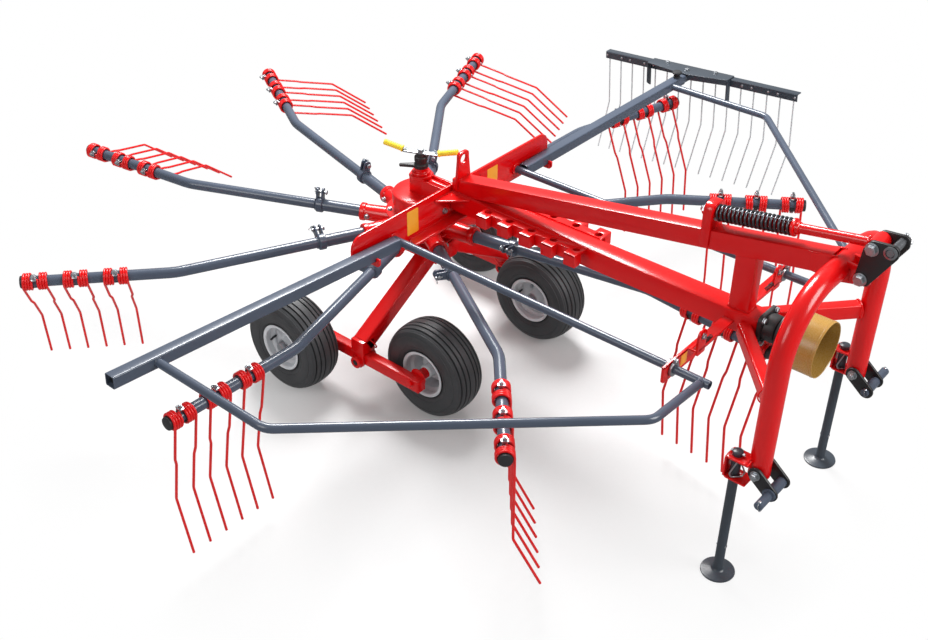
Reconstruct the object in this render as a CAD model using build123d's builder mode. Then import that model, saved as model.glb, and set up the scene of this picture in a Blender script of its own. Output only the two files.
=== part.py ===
# Single-rotor hay rake on a four-wheel bogie chassis, as it parks on its two stands.
# Millimetres. +Z is up, -Y points to the tractor, +X is the swath side with the curtain.
# While it is drawn, the origin is on the ground under the rotor axis. At the end every
# piece moves by the same step, so that the origin is the bottom centre of the whole rake.

from build123d import *
import math
import os

os.makedirs("parts", exist_ok=True)

# Clearances
FIT_CLEAR = 0.3          # between pieces that seat on or in each other
RUNNING_CLEAR = 0.05     # radial, between a shaft and its bore
MOVING_CLEAR = 6.0       # least gap between pieces that move past each other

# Rotor
ARM_COUNT = 9
ARM_STEP = 360.0 / ARM_COUNT
ARM_START = -3.0         # angle of the first arm from +X, seen from above
ARM_RISE = 2.2           # degrees by which the arms climb outwards
ARM_ROOT_Z = 520.0       # height of the arms' axes at the rotor axis
INNER_TUBE_R = 22.5
OUTER_TUBE_R = 19.0
SOCKET_R = 31.0
SOCKET_ROOT_R = 37.0     # where the cast sockets leave the hub
SOCKET_IN = 80.0         # radius where the sockets leave the hub
SOCKET_OUT = 236.0
SOCKET_DEPTH = 60.0      # how far a tube goes into its socket
COLLAR_AT = 387.0        # radius of the joint between inner and outer tube
COLLAR_R = 29.0
COLLAR_LENGTH = 24.0
COLLAR_EAR = 30.0        # how far the two pin ears stand off the collar
EAR_THICK = 6.0
EAR_GAP = 14.0
BEND_AT = 928.0          # radius where the arm bends
BEND_ANGLE = 16.0        # degrees, against the way the rotor turns
BEND_R = 160.0
BEND_TO_COIL = 488.0     # from the bend to the outermost coil
ARM_TIP = 40.0           # from the outermost coil to the capped end
CAP_LENGTH = 12.0
CAP_R = 21.5

# Spring tines
TINE_WIRE_R = 4.75
COIL_R = 30.5            # outer radius of a coil
COIL_LENGTH = 28.5       # three turns of wire
COIL_HALF_PITCH = 28.5   # each coil to the middle of its double tine
TIP_HALF_PITCH = 33.0    # the same at the tips
PAIR_PITCH = 131.0
PAIRS = 3
TINE_KNEE = 303.0        # down from the coil to the knee
TINE_TOE = 198.0         # from the knee to the tip
TINE_TOE_ANGLE = 25.0    # degrees by which the toe bends the way the rotor turns
# Trailing angle of the tines of each arm, in the order of the arms: the cam track holds
# them down at the front and turns them up at the swath side.
TINE_TRAIL = [28, 76, 78, 76, 40, 10, 0, 21, 14]

# Rotor hub and gear case
HUB_R = 104.0
HUB_LOW_Z = 486.0
HUB_TOP_Z = 596.0
HUB_WAIST_R = 82.0
AXLE_R = 30.0
CASE_R = 108.0
CASE_LOW_Z = 604.0
CASE_TOP_Z = 650.0
CASE_BOX_WIDTH = 66.0
CASE_BOX_TOP_Z = 712.0
CASE_BOX_REAR_Y = 38.0
CASE_RIB = 9.0
CASE_TROUGH_Z = 670.0
CASE_NECK_R = 27.0
CASE_NECK_TOP_Z = 768.0
CASE_BORE_DEPTH = 12.0   # behind the end of the drive shaft

# Chassis
WHEEL_R = 182.5
WHEEL_WIDTH = 145.0
RIM_R = 82.0
RIM_WIDTH = 116.0
WHEEL_BORE_R = 12.7
WHEEL_HUB_R = 26.0
WHEEL_HUB_LENGTH = 96.0
BOGIE_X = 415.0
BOGIE_BEAM_WIDTH = 40.0
BOGIE_BEAM_HEIGHT = 46.0
REAR_AXLE_Y = 170.0
FRONT_AXLE_Y = -330.0
BOGIE_PIVOT_Y = (REAR_AXLE_Y + FRONT_AXLE_Y) / 2
BOGIE_PIVOT_Z = 160.0
REAR_WHEEL_X = 525.0     # outside the beam
FRONT_WHEEL_X = 309.0    # inside the beam
AXLE_BEAM_END = 34.0     # beam behind and before its axles
BOGIE_SLEEVE_R = 27.0
BOGIE_PIN_R = 12.0
LEG_WIDTH = 60.0
LEG_TOP_X = 58.0
LEG_TOP_Z = 436.0
LEG_LOW_Z = 226.0
YOKE_WIDTH = 124.0
YOKE_REACH = 46.0        # behind the rotor's axis and before the legs' own
YOKE_LOW_Z = 400.0
CHEEK_THICK = 10.0

# Cross beam
CROSS_Y = -165.0         # back face of its web
CROSS_THICK = 8.0
CROSS_HALF = 530.0
CROSS_LOW_Z = 620.0
CROSS_TOP_Z = 745.0
CROSS_FLANGE = 46.0
CROSS_END_R = 58.0
HINGE_X = 335.0
HINGE_Z = 663.0
HINGE_TUBE_R = 13.5
BOSS_R = 22.0

# Upper and lower beam
LOWER_BEAM_HALF = 40.0
LOWER_BEAM_TOP_Z = 722.0
LOWER_BEAM_LOW_Z = 654.0
LOWER_BEAM_FRONT_Y = -1395.0
SHEET = 6.0
GUSSET_OUT = 88.0
GUSSET_LONG = 96.0
RACK_REAR_Y = -345.0
RACK_PITCH = 93.0
RACK_TABS = 5
RACK_TAB_WIDTH = 46.0
RACK_OUT = 64.0
RACK_DROP = 46.0
RACK_HOLE_R = 9.0
UPPER_BEAM_WIDTH = 60.0
UPPER_BEAM_HEIGHT = 64.0
UPPER_BEAM_REAR_Z = 737.0    # its axis at the cross beam
UPPER_BEAM_SLOPE = 10.2
COLUMN_Y = -1315.0
COLUMN_DEPTH = 70.0
EYE_Y = -192.0
EYE_TOP_Z = 872.0
EYE_HOLE_R = 17.0
EYE_THICK = 12.0

# Headstock
HEAD_Y = -1595.0
HEAD_HALF = 312.0        # from the middle to the axis of each leg
HEAD_TUBE_R = 32.5
HEAD_TOP_Z = 990.0
HEAD_BEND_R = 200.0
HEAD_LOW_Z = 418.0
BRACE_Z = 676.0
BRACE_BEHIND_STAY = 14.0     # from the lip of the front stay to the braces' root
BRACE_HEIGHT = 50.0
BRACE_WIDTH = 40.0
FORK_BOLT_Y = -1664.0
FORK_BOLT_Z = 986.0
FORK_THICK = 10.0
TOP_PIN_Y = -1731.0
TOP_PIN_Z = 1100.0
DAMPER_BOLT_Y = -1678.0
DAMPER_BOLT_Z = 1088.0
ROCKER_THICK = 10.0
ROCKER_GAP = UPPER_BEAM_WIDTH + 2 * FIT_CLEAR     # between the two rocker plates
TOP_PIN_R = 12.5

# Spring damper on the upper beam
DAMPER_BRACKET_Y = -1168.0
DAMPER_Z = 998.4        # its axis at the bracket
DAMPER_BRACKET_TOP_Z = 1038.0
SPRING_R = 27.0
SPRING_LENGTH = 236.0
DAMPER_ROD_R = 15.0

# Lower hitch and stands
LUG_BOLT_Y = -1602.0
LUG_BOLT_Z = 442.0
LUG_PIN_Y = -1654.0
LUG_PIN_Z = 400.0
LUG_THICK = 8.0
LUG_R = 24.0
LOWER_PIN_R = 14.0
LOWER_PIN_IN = HEAD_HALF - 50
LOWER_PIN_OUT = HEAD_HALF + 108
STAND_X = HEAD_HALF + 30
STAND_Y = -1534.0
STAND_R = 15.0
STAND_TOP_Z = 494.0
FOOT_R = 54.0
FOOT_HEIGHT = 12.0
STAND_BRACKET_LOW_Z = 398.0
STAND_BRACKET_TOP_Z = 478.0
STAND_BRACKET_HALF = 29.0
STAND_BRACKET_SHEET = 6.0

# Drive
DRIVE_Z = 690.0
DRIVE_R = 14.0
DRIVE_REAR_Y = -22.0
STUB_R = 17.5
JOURNAL_R = 20.0
STUB_FRONT_Y = -1560.0
BEARING_LENGTH = 60.0
BEARING_R = 46.0
BEARING_FLANGE = 104.0
PTO_GUARD_R = 90.0
PTO_GUARD_WALL = 3.0
PTO_GUARD_FRONT_Y = -1600.0

# Front stay
STAY_Y = -1282.0
STAY_HALF = 384.0
STAY_THICK = 8.0
STAY_LOW_Z = 630.0
STAY_TOP_Z = 690.0
STAY_LIP = 30.0
STAY_FRONT_Y = STAY_Y - STAY_THICK / 2 - STAY_LIP
LATCH_X = 228.0
LATCH_HALF = 22.0
LATCH_TOP_Z = 756.0
RING_R = 24.0
RING_WIDTH = 16.0

# Guards
GUARD_TUBE = 40.0
GUARD_TUBE_WALL = 3.0
GUARD_Y = -202.0
GUARD_END_LEFT = 1445.0
GUARD_END_RIGHT = 1500.0
HOOP_R = 13.5
HOOP_WALL = 2.5
HOOP_WELD_X = 1350.0
HOOP_SIDE_Y = -665.0
HOOP_CORNER_X = 590.0
HOOP_FRONT_Y = -1385.0
HOOP_BEND_R = 60.0
HINGE_FRONT_Y = -1412.0
RIGHT_GUARD_TILT = 4.3   # degrees by which the right guard rests above level

# Swath curtain
CURTAIN_REACH = 85.0     # from the end of the left guard's tube to the curtain bar
CURTAIN_ARM = 500.0      # inner tube that slides in the guard's tube
CURTAIN_TILT = -4.0      # degrees about the arm, the rear end low
CURTAIN_BAR = 950.0
CURTAIN_BAR_SIDE = 32.0
CURTAIN_BAR_WALL = 4.0
CURTAIN_BAR_SHIFT = -35.0    # middle of the bar along Y from the guard's tube
CURTAIN_TINES = 16
CURTAIN_TINE_PITCH = 61.0
CURTAIN_TINE_R = 3.0
CURTAIN_TINE_UPPER = 235.0
CURTAIN_TINE_LOWER = 250.0
CURTAIN_TINE_ANGLE = 14.0
HEAD_SHEET = 5.0
HEAD_SHEET_WIDTH = 400.0     # along the bar
HEAD_SHEET_SIDE = 30.0       # depth of its two end wings
HEAD_SHEET_DROP = 112.0      # height of the end wings

# Crank
CRANK_Z = 800.0
CRANK_HALF = 138.0
CRANK_ANGLE = -67.0
CRANK_WIDTH = 24.0
CRANK_THICK = 6.0
CRANK_ROD_R = 5.0
CRANK_RISE = 24.0        # the bar's ends stand this much above its middle
GRIP_R = 11.0
GRIP_LENGTH = 78.0

SIDES = {"left": 1.0, "right": -1.0}
pieces = []


# Keep a finished piece under its name
def keep(builder, name):
    builder.part.label = name
    pieces.append(builder.part)


# Plane at a point, facing another, with its X as level as can be
def facing(start, end):
    along = (Vector(*end) - Vector(*start)).normalized()
    level = Vector(0, 0, 1).cross(along)
    if level.length < 0.01:
        level = Vector(1, 0, 0)
    return Plane(origin=start, x_dir=level, z_dir=along)


# Straight round bar or tube from one point to another, in the open part
def rod(start, end, radius, bore=0.0, mode=Mode.ADD):
    with BuildSketch(facing(start, end)) as section:
        Circle(radius)
        if bore > 0:
            Circle(bore, mode=Mode.SUBTRACT)
    extrude(section.sketch, amount=(Vector(*end) - Vector(*start)).length, mode=mode)


# Straight rectangular bar from one point to another, in the open part
def bar(start, end, width, height):
    with BuildSketch(facing(start, end)) as section:
        Rectangle(width, height)
    extrude(section.sketch, amount=(Vector(*end) - Vector(*start)).length)


# Box between two corners, in the open part
def block(low, high, mode=Mode.ADD):
    size = Vector(*high) - Vector(*low)
    middle = (Vector(*high) + Vector(*low)) * 0.5
    with Locations(middle):
        Box(size.X, size.Y, size.Z, mode=mode)


# Cylinder along X through a point, in the open part
def disc_x(x, y, z, radius, length, mode=Mode.ADD):
    with Locations(Location((x, y, z), (0, 90, 0))):
        Cylinder(radius, length, mode=mode)


# Cylinder along Y through a point, in the open part
def disc_y(x, y, z, radius, length, mode=Mode.ADD):
    with Locations(Location((x, y, z), (90, 0, 0))):
        Cylinder(radius, length, mode=mode)


# The same plane turned about its own Z
def turned(plane, angle):
    x_dir = plane.x_dir.rotate(Axis(plane.origin, plane.z_dir), angle)
    return Plane(origin=plane.origin, x_dir=x_dir, z_dir=plane.z_dir)


# Rotor arms: plane that holds an arm, its X along the arm and its Z across
def arm_plane(index):
    turn = ARM_START + ARM_STEP * index
    out = Vector(1, 0, 0).rotate(Axis.Z, turn)
    along = out * math.cos(math.radians(ARM_RISE)) + Vector(0, 0, math.sin(math.radians(ARM_RISE)))
    side = Vector(0, 0, 1).cross(out)
    return Plane(origin=(0, 0, ARM_ROOT_Z), x_dir=along, z_dir=along.cross(side))


# Plane at the bend, its X along the outer stretch that carries the tines
def carrier_plane(index):
    arm = arm_plane(index)
    bend = arm.from_local_coords(Vector(BEND_AT, 0, 0))
    return turned(Plane(origin=bend, x_dir=arm.x_dir, z_dir=arm.z_dir), -BEND_ANGLE)


# Tine plane: X along the way the rotor turns, Y against the tine, Z outwards
def tine_plane(index, pair):
    carrier = carrier_plane(index)
    middle = BEND_TO_COIL - COIL_HALF_PITCH - PAIR_PITCH * pair
    level = Plane(
        origin=carrier.from_local_coords(Vector(middle, 0, 0)),
        x_dir=carrier.y_dir,
        z_dir=carrier.x_dir,
    )
    return turned(level, -TINE_TRAIL[index])


# Gear case: cover disc, box over it and the neck of the crank
with BuildPart() as gear_case:
    with BuildSketch(Plane.XY.offset(CASE_LOW_Z)):
        Circle(CASE_R)
    extrude(amount=CASE_TOP_Z - CASE_LOW_Z)
    fillet(gear_case.edges().filter_by(GeomType.CIRCLE).group_by(Axis.Z)[-1], 8)
    block(
        (-CASE_BOX_WIDTH / 2, CROSS_Y + FIT_CLEAR, CASE_TOP_Z - 6),
        (CASE_BOX_WIDTH / 2, CASE_BOX_REAR_Y, CASE_BOX_TOP_Z),
    )
    chamfer(gear_case.edges().filter_by(Axis.X).group_by(Axis.Z)[-1].sort_by(Axis.Y)[-1:], 14)
    # Open trough between the two ribs that run from the neck to the cross beam
    block(
        (-CASE_BOX_WIDTH / 2 + CASE_RIB, CROSS_Y - 1, CASE_TROUGH_Z),
        (CASE_BOX_WIDTH / 2 - CASE_RIB, -CASE_NECK_R - 4, CASE_BOX_TOP_Z + 1),
        mode=Mode.SUBTRACT,
    )
    with BuildSketch(Plane.XY.offset(CASE_BOX_TOP_Z - 4)):
        RegularPolygon(CASE_NECK_R + 18, 8)
    extrude(amount=12)
    with Locations((0, 0, (CASE_BOX_TOP_Z + CASE_NECK_TOP_Z) / 2)):
        Cylinder(CASE_NECK_R, CASE_NECK_TOP_Z - CASE_BOX_TOP_Z)
    disc_y(0, DRIVE_REAR_Y, DRIVE_Z, DRIVE_R + RUNNING_CLEAR, 2 * CASE_BORE_DEPTH, mode=Mode.SUBTRACT)
    # Fixed axle through the rotor hub down to the bogie yoke
    with BuildSketch(Plane.XY.offset(YOKE_LOW_Z + 80)):
        Circle(AXLE_R)
    extrude(amount=CASE_LOW_Z - YOKE_LOW_Z - 80)
keep(gear_case, "gear_case")

# Rotor hub: cast bell with nine sockets
with BuildPart() as rotor_hub:
    with BuildSketch(Plane.XZ):
        with BuildLine():
            Polyline(
                (AXLE_R + RUNNING_CLEAR, HUB_LOW_Z),
                (HUB_WAIST_R, HUB_LOW_Z),
                (HUB_R, HUB_LOW_Z + 22),
                (HUB_R, HUB_TOP_Z - 14),
                (HUB_R - 14, HUB_TOP_Z),
                (AXLE_R + RUNNING_CLEAR, HUB_TOP_Z),
                close=True,
            )
        make_face()
    revolve(axis=Axis.Z)
    for arm in range(ARM_COUNT):
        with Locations(Plane(
            origin=arm_plane(arm).from_local_coords(Vector((SOCKET_IN + SOCKET_OUT) / 2, 0, 0)),
            x_dir=arm_plane(arm).y_dir,
            z_dir=arm_plane(arm).x_dir,
        )):
            Cone(SOCKET_ROOT_R, SOCKET_R, SOCKET_OUT - SOCKET_IN)
    for arm in range(ARM_COUNT):
        with BuildSketch(Plane(
            origin=arm_plane(arm).from_local_coords(Vector(SOCKET_OUT - SOCKET_DEPTH, 0, 0)),
            x_dir=arm_plane(arm).y_dir,
            z_dir=arm_plane(arm).x_dir,
        )):
            Circle(INNER_TUBE_R + FIT_CLEAR)
        extrude(amount=SOCKET_DEPTH + 5, mode=Mode.SUBTRACT)
keep(rotor_hub, "rotor_hub")

# Tine arms: inner tube, pinned collar and bent outer tube with its black cap
with BuildPart() as tine_arms:
    for arm in range(ARM_COUNT):
        plane = arm_plane(arm)
        carrier = carrier_plane(arm)
        start = plane.from_local_coords(Vector(SOCKET_OUT - SOCKET_DEPTH + FIT_CLEAR, 0, 0))
        joint = plane.from_local_coords(Vector(COLLAR_AT, 0, 0))
        bend = plane.from_local_coords(Vector(BEND_AT, 0, 0))
        tip = carrier.from_local_coords(Vector(BEND_TO_COIL + ARM_TIP, 0, 0))
        rod(start, joint, INNER_TUBE_R)
        with BuildLine() as arm_line:
            FilletPolyline(joint, bend, tip, radius=BEND_R)
        with BuildSketch(Plane(origin=arm_line.line @ 0, z_dir=arm_line.line % 0)):
            Circle(OUTER_TUBE_R)
        sweep(path=arm_line.line)
        collar_end = plane.from_local_coords(Vector(COLLAR_AT + COLLAR_LENGTH, 0, 0))
        rod(joint, collar_end, COLLAR_R)
        cap_start = carrier.from_local_coords(Vector(BEND_TO_COIL + ARM_TIP - CAP_LENGTH, 0, 0))
        rod(cap_start, tip, CAP_R)
        # Two ears that carry the storage pin, turned with the tines
        trail = math.radians(TINE_TRAIL[arm])
        up = plane.z_dir * math.sin(trail) - plane.y_dir * math.cos(trail)
        for side in (-1, 1):
            near = (EAR_GAP + EAR_THICK) / 2 * side
            foot = plane.from_local_coords(Vector(COLLAR_AT + COLLAR_LENGTH / 2 + near, 0, 0))
            with BuildSketch(Plane(origin=foot, x_dir=up, z_dir=plane.x_dir)):
                SlotCenterPoint((0, 0), ((COLLAR_R + COLLAR_EAR) / 2 + 6, 0), 2 * COLLAR_EAR * 0.6)
            extrude(amount=EAR_THICK / 2, both=True)
keep(tine_arms, "tine_arms")

# Double tines: two coils round the arm, each with a leg to the ground
for arm in range(ARM_COUNT):
    with BuildPart() as tines:
        for pair in range(PAIRS):
            frame = tine_plane(arm, pair)
            for side in (-1, 1):
                middle = frame.offset(side * COIL_HALF_PITCH)
                with BuildSketch(middle):
                    RegularPolygon(COIL_R, 12)
                    Circle(OUTER_TUBE_R + FIT_CLEAR, mode=Mode.SUBTRACT)
                extrude(amount=COIL_LENGTH / 2, both=True)
                leg_x = COIL_R - TINE_WIRE_R - 1
                toe = math.radians(TINE_TOE_ANGLE)
                coil = side * COIL_HALF_PITCH
                spread = side * TIP_HALF_PITCH
                top = frame.from_local_coords(Vector(leg_x, 0, coil))
                knee = frame.from_local_coords(Vector(leg_x, -TINE_KNEE, spread))
                tip = frame.from_local_coords(Vector(
                    leg_x + TINE_TOE * math.sin(toe), -TINE_KNEE - TINE_TOE * math.cos(toe), spread
                ))
                with BuildLine() as leg:
                    Polyline(top, knee, tip)
                with BuildSketch(Plane(origin=leg.line @ 0, z_dir=leg.line % 0)):
                    Circle(TINE_WIRE_R)
                sweep(path=leg.line, transition=Transition.RIGHT)
            # The wire that joins the two coils, clamped on the side away from the legs
            half = COIL_HALF_PITCH - COIL_LENGTH / 2 + 2
            joint_y = COIL_R - TINE_WIRE_R
            rod(
                frame.from_local_coords(Vector(0, joint_y, -half)),
                frame.from_local_coords(Vector(0, joint_y, half)),
                TINE_WIRE_R,
            )
    keep(tines, "tines_" + str(arm + 1))

# Bogie yoke and its two box legs
BEAM_TOP_Z = WHEEL_R + BOGIE_BEAM_HEIGHT / 2 - 12
with BuildPart() as bogie_legs:
    block(
        (-YOKE_WIDTH / 2, BOGIE_PIVOT_Y - YOKE_REACH, YOKE_LOW_Z),
        (YOKE_WIDTH / 2, YOKE_REACH, HUB_LOW_Z - MOVING_CLEAR),
    )
    for side in SIDES.values():
        bar(
            (side * LEG_TOP_X, BOGIE_PIVOT_Y, LEG_TOP_Z),
            (side * BOGIE_X, BOGIE_PIVOT_Y, LEG_LOW_Z),
            LEG_WIDTH,
            LEG_WIDTH,
        )
        # Fork over the bogie beam, with the pivot pin through it
        cheek_x = BOGIE_BEAM_WIDTH / 2 + FIT_CLEAR + CHEEK_THICK / 2
        block(
            (side * BOGIE_X - cheek_x - CHEEK_THICK / 2, BOGIE_PIVOT_Y - 30, BEAM_TOP_Z + FIT_CLEAR),
            (side * BOGIE_X + cheek_x + CHEEK_THICK / 2, BOGIE_PIVOT_Y + 30, LEG_LOW_Z + 24),
        )
        for cheek in (-1, 1):
            with BuildSketch(Plane(
                origin=(side * BOGIE_X + cheek * cheek_x, BOGIE_PIVOT_Y, BOGIE_PIVOT_Z),
                x_dir=(0, 0, 1),
                z_dir=(1, 0, 0),
            )):
                SlotCenterPoint((0, 0), ((LEG_LOW_Z - BOGIE_PIVOT_Z) / 2, 0), 2 * BOGIE_SLEEVE_R)
            extrude(amount=CHEEK_THICK / 2, both=True)
        disc_x(
            side * BOGIE_X, BOGIE_PIVOT_Y, BOGIE_PIVOT_Z,
            BOGIE_PIN_R, 2 * (cheek_x + CHEEK_THICK),
        )
    with BuildSketch(Plane.XY.offset(YOKE_LOW_Z + 80)):
        Circle(AXLE_R + FIT_CLEAR)
    extrude(amount=200, mode=Mode.SUBTRACT)
keep(bogie_legs, "bogie_legs")

# Rocking beams with their stub axles
with BuildPart() as bogie_beams:
    for side in SIDES.values():
        block(
            (side * BOGIE_X - BOGIE_BEAM_WIDTH / 2, FRONT_AXLE_Y - AXLE_BEAM_END,
             BEAM_TOP_Z - BOGIE_BEAM_HEIGHT),
            (side * BOGIE_X + BOGIE_BEAM_WIDTH / 2, REAR_AXLE_Y + AXLE_BEAM_END, BEAM_TOP_Z),
        )
        disc_x(side * BOGIE_X, BOGIE_PIVOT_Y, BOGIE_PIVOT_Z, BOGIE_SLEEVE_R, BOGIE_BEAM_WIDTH)
        disc_x(
            side * BOGIE_X, BOGIE_PIVOT_Y, BOGIE_PIVOT_Z,
            BOGIE_PIN_R + FIT_CLEAR, BOGIE_BEAM_WIDTH + 10, mode=Mode.SUBTRACT,
        )
        for wheel_x, axle_y in ((REAR_WHEEL_X, REAR_AXLE_Y), (FRONT_WHEEL_X, FRONT_AXLE_Y)):
            out = 1.0 if wheel_x > BOGIE_X else -1.0
            axle_end = wheel_x + out * (WHEEL_HUB_LENGTH / 2 + 10)
            rod(
                (side * BOGIE_X, axle_y, WHEEL_R),
                (side * axle_end, axle_y, WHEEL_R),
                WHEEL_BORE_R - RUNNING_CLEAR,
            )
            shoulder_end = wheel_x - out * (WHEEL_HUB_LENGTH / 2 + FIT_CLEAR)
            rod(
                (side * BOGIE_X, axle_y, WHEEL_R),
                (side * shoulder_end, axle_y, WHEEL_R),
                WHEEL_HUB_R - 6,
            )
            # Nut outside the wheel hub
            nut_start = wheel_x + out * (WHEEL_HUB_LENGTH / 2 + FIT_CLEAR)
            rod(
                (side * nut_start, axle_y, WHEEL_R),
                (side * (nut_start + out * 10), axle_y, WHEEL_R),
                WHEEL_HUB_R - 8,
            )
keep(bogie_beams, "bogie_beams")

# Wheels: rim with its dished web, and ribbed tyre
WHEELS = {
    # name: (X of the wheel's middle, Y of its axle)
    "rear_left": (REAR_WHEEL_X, REAR_AXLE_Y),
    "rear_right": (-REAR_WHEEL_X, REAR_AXLE_Y),
    "front_left": (FRONT_WHEEL_X, FRONT_AXLE_Y),
    "front_right": (-FRONT_WHEEL_X, FRONT_AXLE_Y),
}
# Half profile of the tyre: radius, and distance from its middle along the axle
TYRE_PROFILE = [
    (RIM_R + FIT_CLEAR, RIM_WIDTH / 2 + 1),
    (RIM_R + 48, WHEEL_WIDTH / 2),
    (WHEEL_R - 12, WHEEL_WIDTH / 2 - 11),
    (WHEEL_R, WHEEL_WIDTH / 2 - 42),
]
RIM_SHEET = 4.0
RIM_LIP = 9.0            # how far the flanges stand over the bead seat
RIM_DISH = 14.0          # how far the web leans from its middle to the rim
for name, (wheel_x, axle_y) in WHEELS.items():
    wheel_plane = Plane(origin=(wheel_x, axle_y, WHEEL_R), x_dir=(0, 1, 0), z_dir=(1, 0, 0))
    with BuildPart() as tyre:
        with BuildSketch(Plane(origin=wheel_plane.origin, x_dir=(0, 0, 1), z_dir=(0, 1, 0))):
            # Sketch X is the radius, sketch Y is the axle
            with BuildLine():
                other_side = [(radius, -along) for radius, along in reversed(TYRE_PROFILE)]
                Polyline(*TYRE_PROFILE, *other_side, close=True)
            make_face()
        revolve(axis=Axis(wheel_plane.origin, (1, 0, 0)))
    keep(tyre, "tyre_" + name)
    dish = math.copysign(RIM_DISH, wheel_x)
    with BuildPart() as rim:
        with BuildSketch(Plane(origin=wheel_plane.origin, x_dir=(0, 0, 1), z_dir=(0, 1, 0))):
            with Locations((RIM_R - RIM_SHEET / 2, 0)):
                Rectangle(RIM_SHEET, RIM_WIDTH + 4 * RIM_SHEET)
            for way in (-1, 1):
                with Locations((RIM_R + (RIM_LIP - RIM_SHEET) / 2, way * (RIM_WIDTH / 2 + 1.5 * RIM_SHEET))):
                    Rectangle(RIM_LIP + RIM_SHEET, RIM_SHEET)
            with BuildLine():
                Polyline(
                    (WHEEL_HUB_R - 2, -RIM_SHEET / 2),
                    (RIM_R * 0.62, -RIM_SHEET / 2),
                    (RIM_R - RIM_SHEET + 1, dish - RIM_SHEET / 2),
                    (RIM_R - RIM_SHEET + 1, dish + RIM_SHEET / 2),
                    (RIM_R * 0.62, RIM_SHEET / 2),
                    (WHEEL_HUB_R - 2, RIM_SHEET / 2),
                    close=True,
                )
            make_face()
            with Locations(((WHEEL_HUB_R + WHEEL_BORE_R) / 2, 0)):
                Rectangle(WHEEL_HUB_R - WHEEL_BORE_R, WHEEL_HUB_LENGTH)
        revolve(axis=Axis(wheel_plane.origin, (1, 0, 0)))
    keep(rim, "rim_" + name)

# Cross beam: web, forward flange, hinge bosses and the guard rests
with BuildPart() as cross_beam:
    web_front = CROSS_Y - CROSS_THICK
    with BuildSketch(Plane(origin=(0, CROSS_Y, 0), x_dir=(1, 0, 0), z_dir=(0, -1, 0))) as web:
        with BuildLine():
            Polyline(
                (-CROSS_HALF + 30, CROSS_LOW_Z),
                (CROSS_HALF - 30, CROSS_LOW_Z),
                (CROSS_HALF, CROSS_LOW_Z + 34),
                (CROSS_HALF, CROSS_TOP_Z),
                (-CROSS_HALF, CROSS_TOP_Z),
                (-CROSS_HALF, CROSS_LOW_Z + 34),
                close=True,
            )
        make_face()
        fillet(web.vertices().group_by(Axis.Y)[-1], CROSS_END_R)
        with Locations((0, DRIVE_Z)):
            Circle(DRIVE_R + 14, mode=Mode.SUBTRACT)
    extrude(amount=CROSS_THICK)
    block(
        (-HINGE_X + 60, web_front - CROSS_FLANGE, CROSS_LOW_Z),
        (HINGE_X - 60, web_front + 1, CROSS_LOW_Z + CROSS_THICK),
    )
    for side in SIDES.values():
        disc_y(side * HINGE_X, web_front - 3, HINGE_Z, BOSS_R, 6)
        disc_y(
            side * HINGE_X, CROSS_Y, HINGE_Z,
            HINGE_TUBE_R + RUNNING_CLEAR, 60, mode=Mode.SUBTRACT,
        )
        # Rest under the guard's square tube
        tilt = 0.0 if side > 0 else RIGHT_GUARD_TILT
        rest_x = CROSS_HALF - 60
        rest_z = HINGE_Z - GUARD_TUBE / 2 - FIT_CLEAR
        rest_z = rest_z + (rest_x - 9 - HINGE_X) * math.tan(math.radians(tilt))
        block(
            (side * rest_x - 9, GUARD_Y - GUARD_TUBE / 2 - 14, rest_z - 12),
            (side * rest_x + 9, web_front + 1, rest_z),
        )
        block(
            (side * rest_x - 9, GUARD_Y - GUARD_TUBE / 2 - 14, rest_z - 12),
            (side * rest_x + 9, GUARD_Y - GUARD_TUBE / 2 - 6, rest_z + 16),
        )
keep(cross_beam, "cross_beam")

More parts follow.
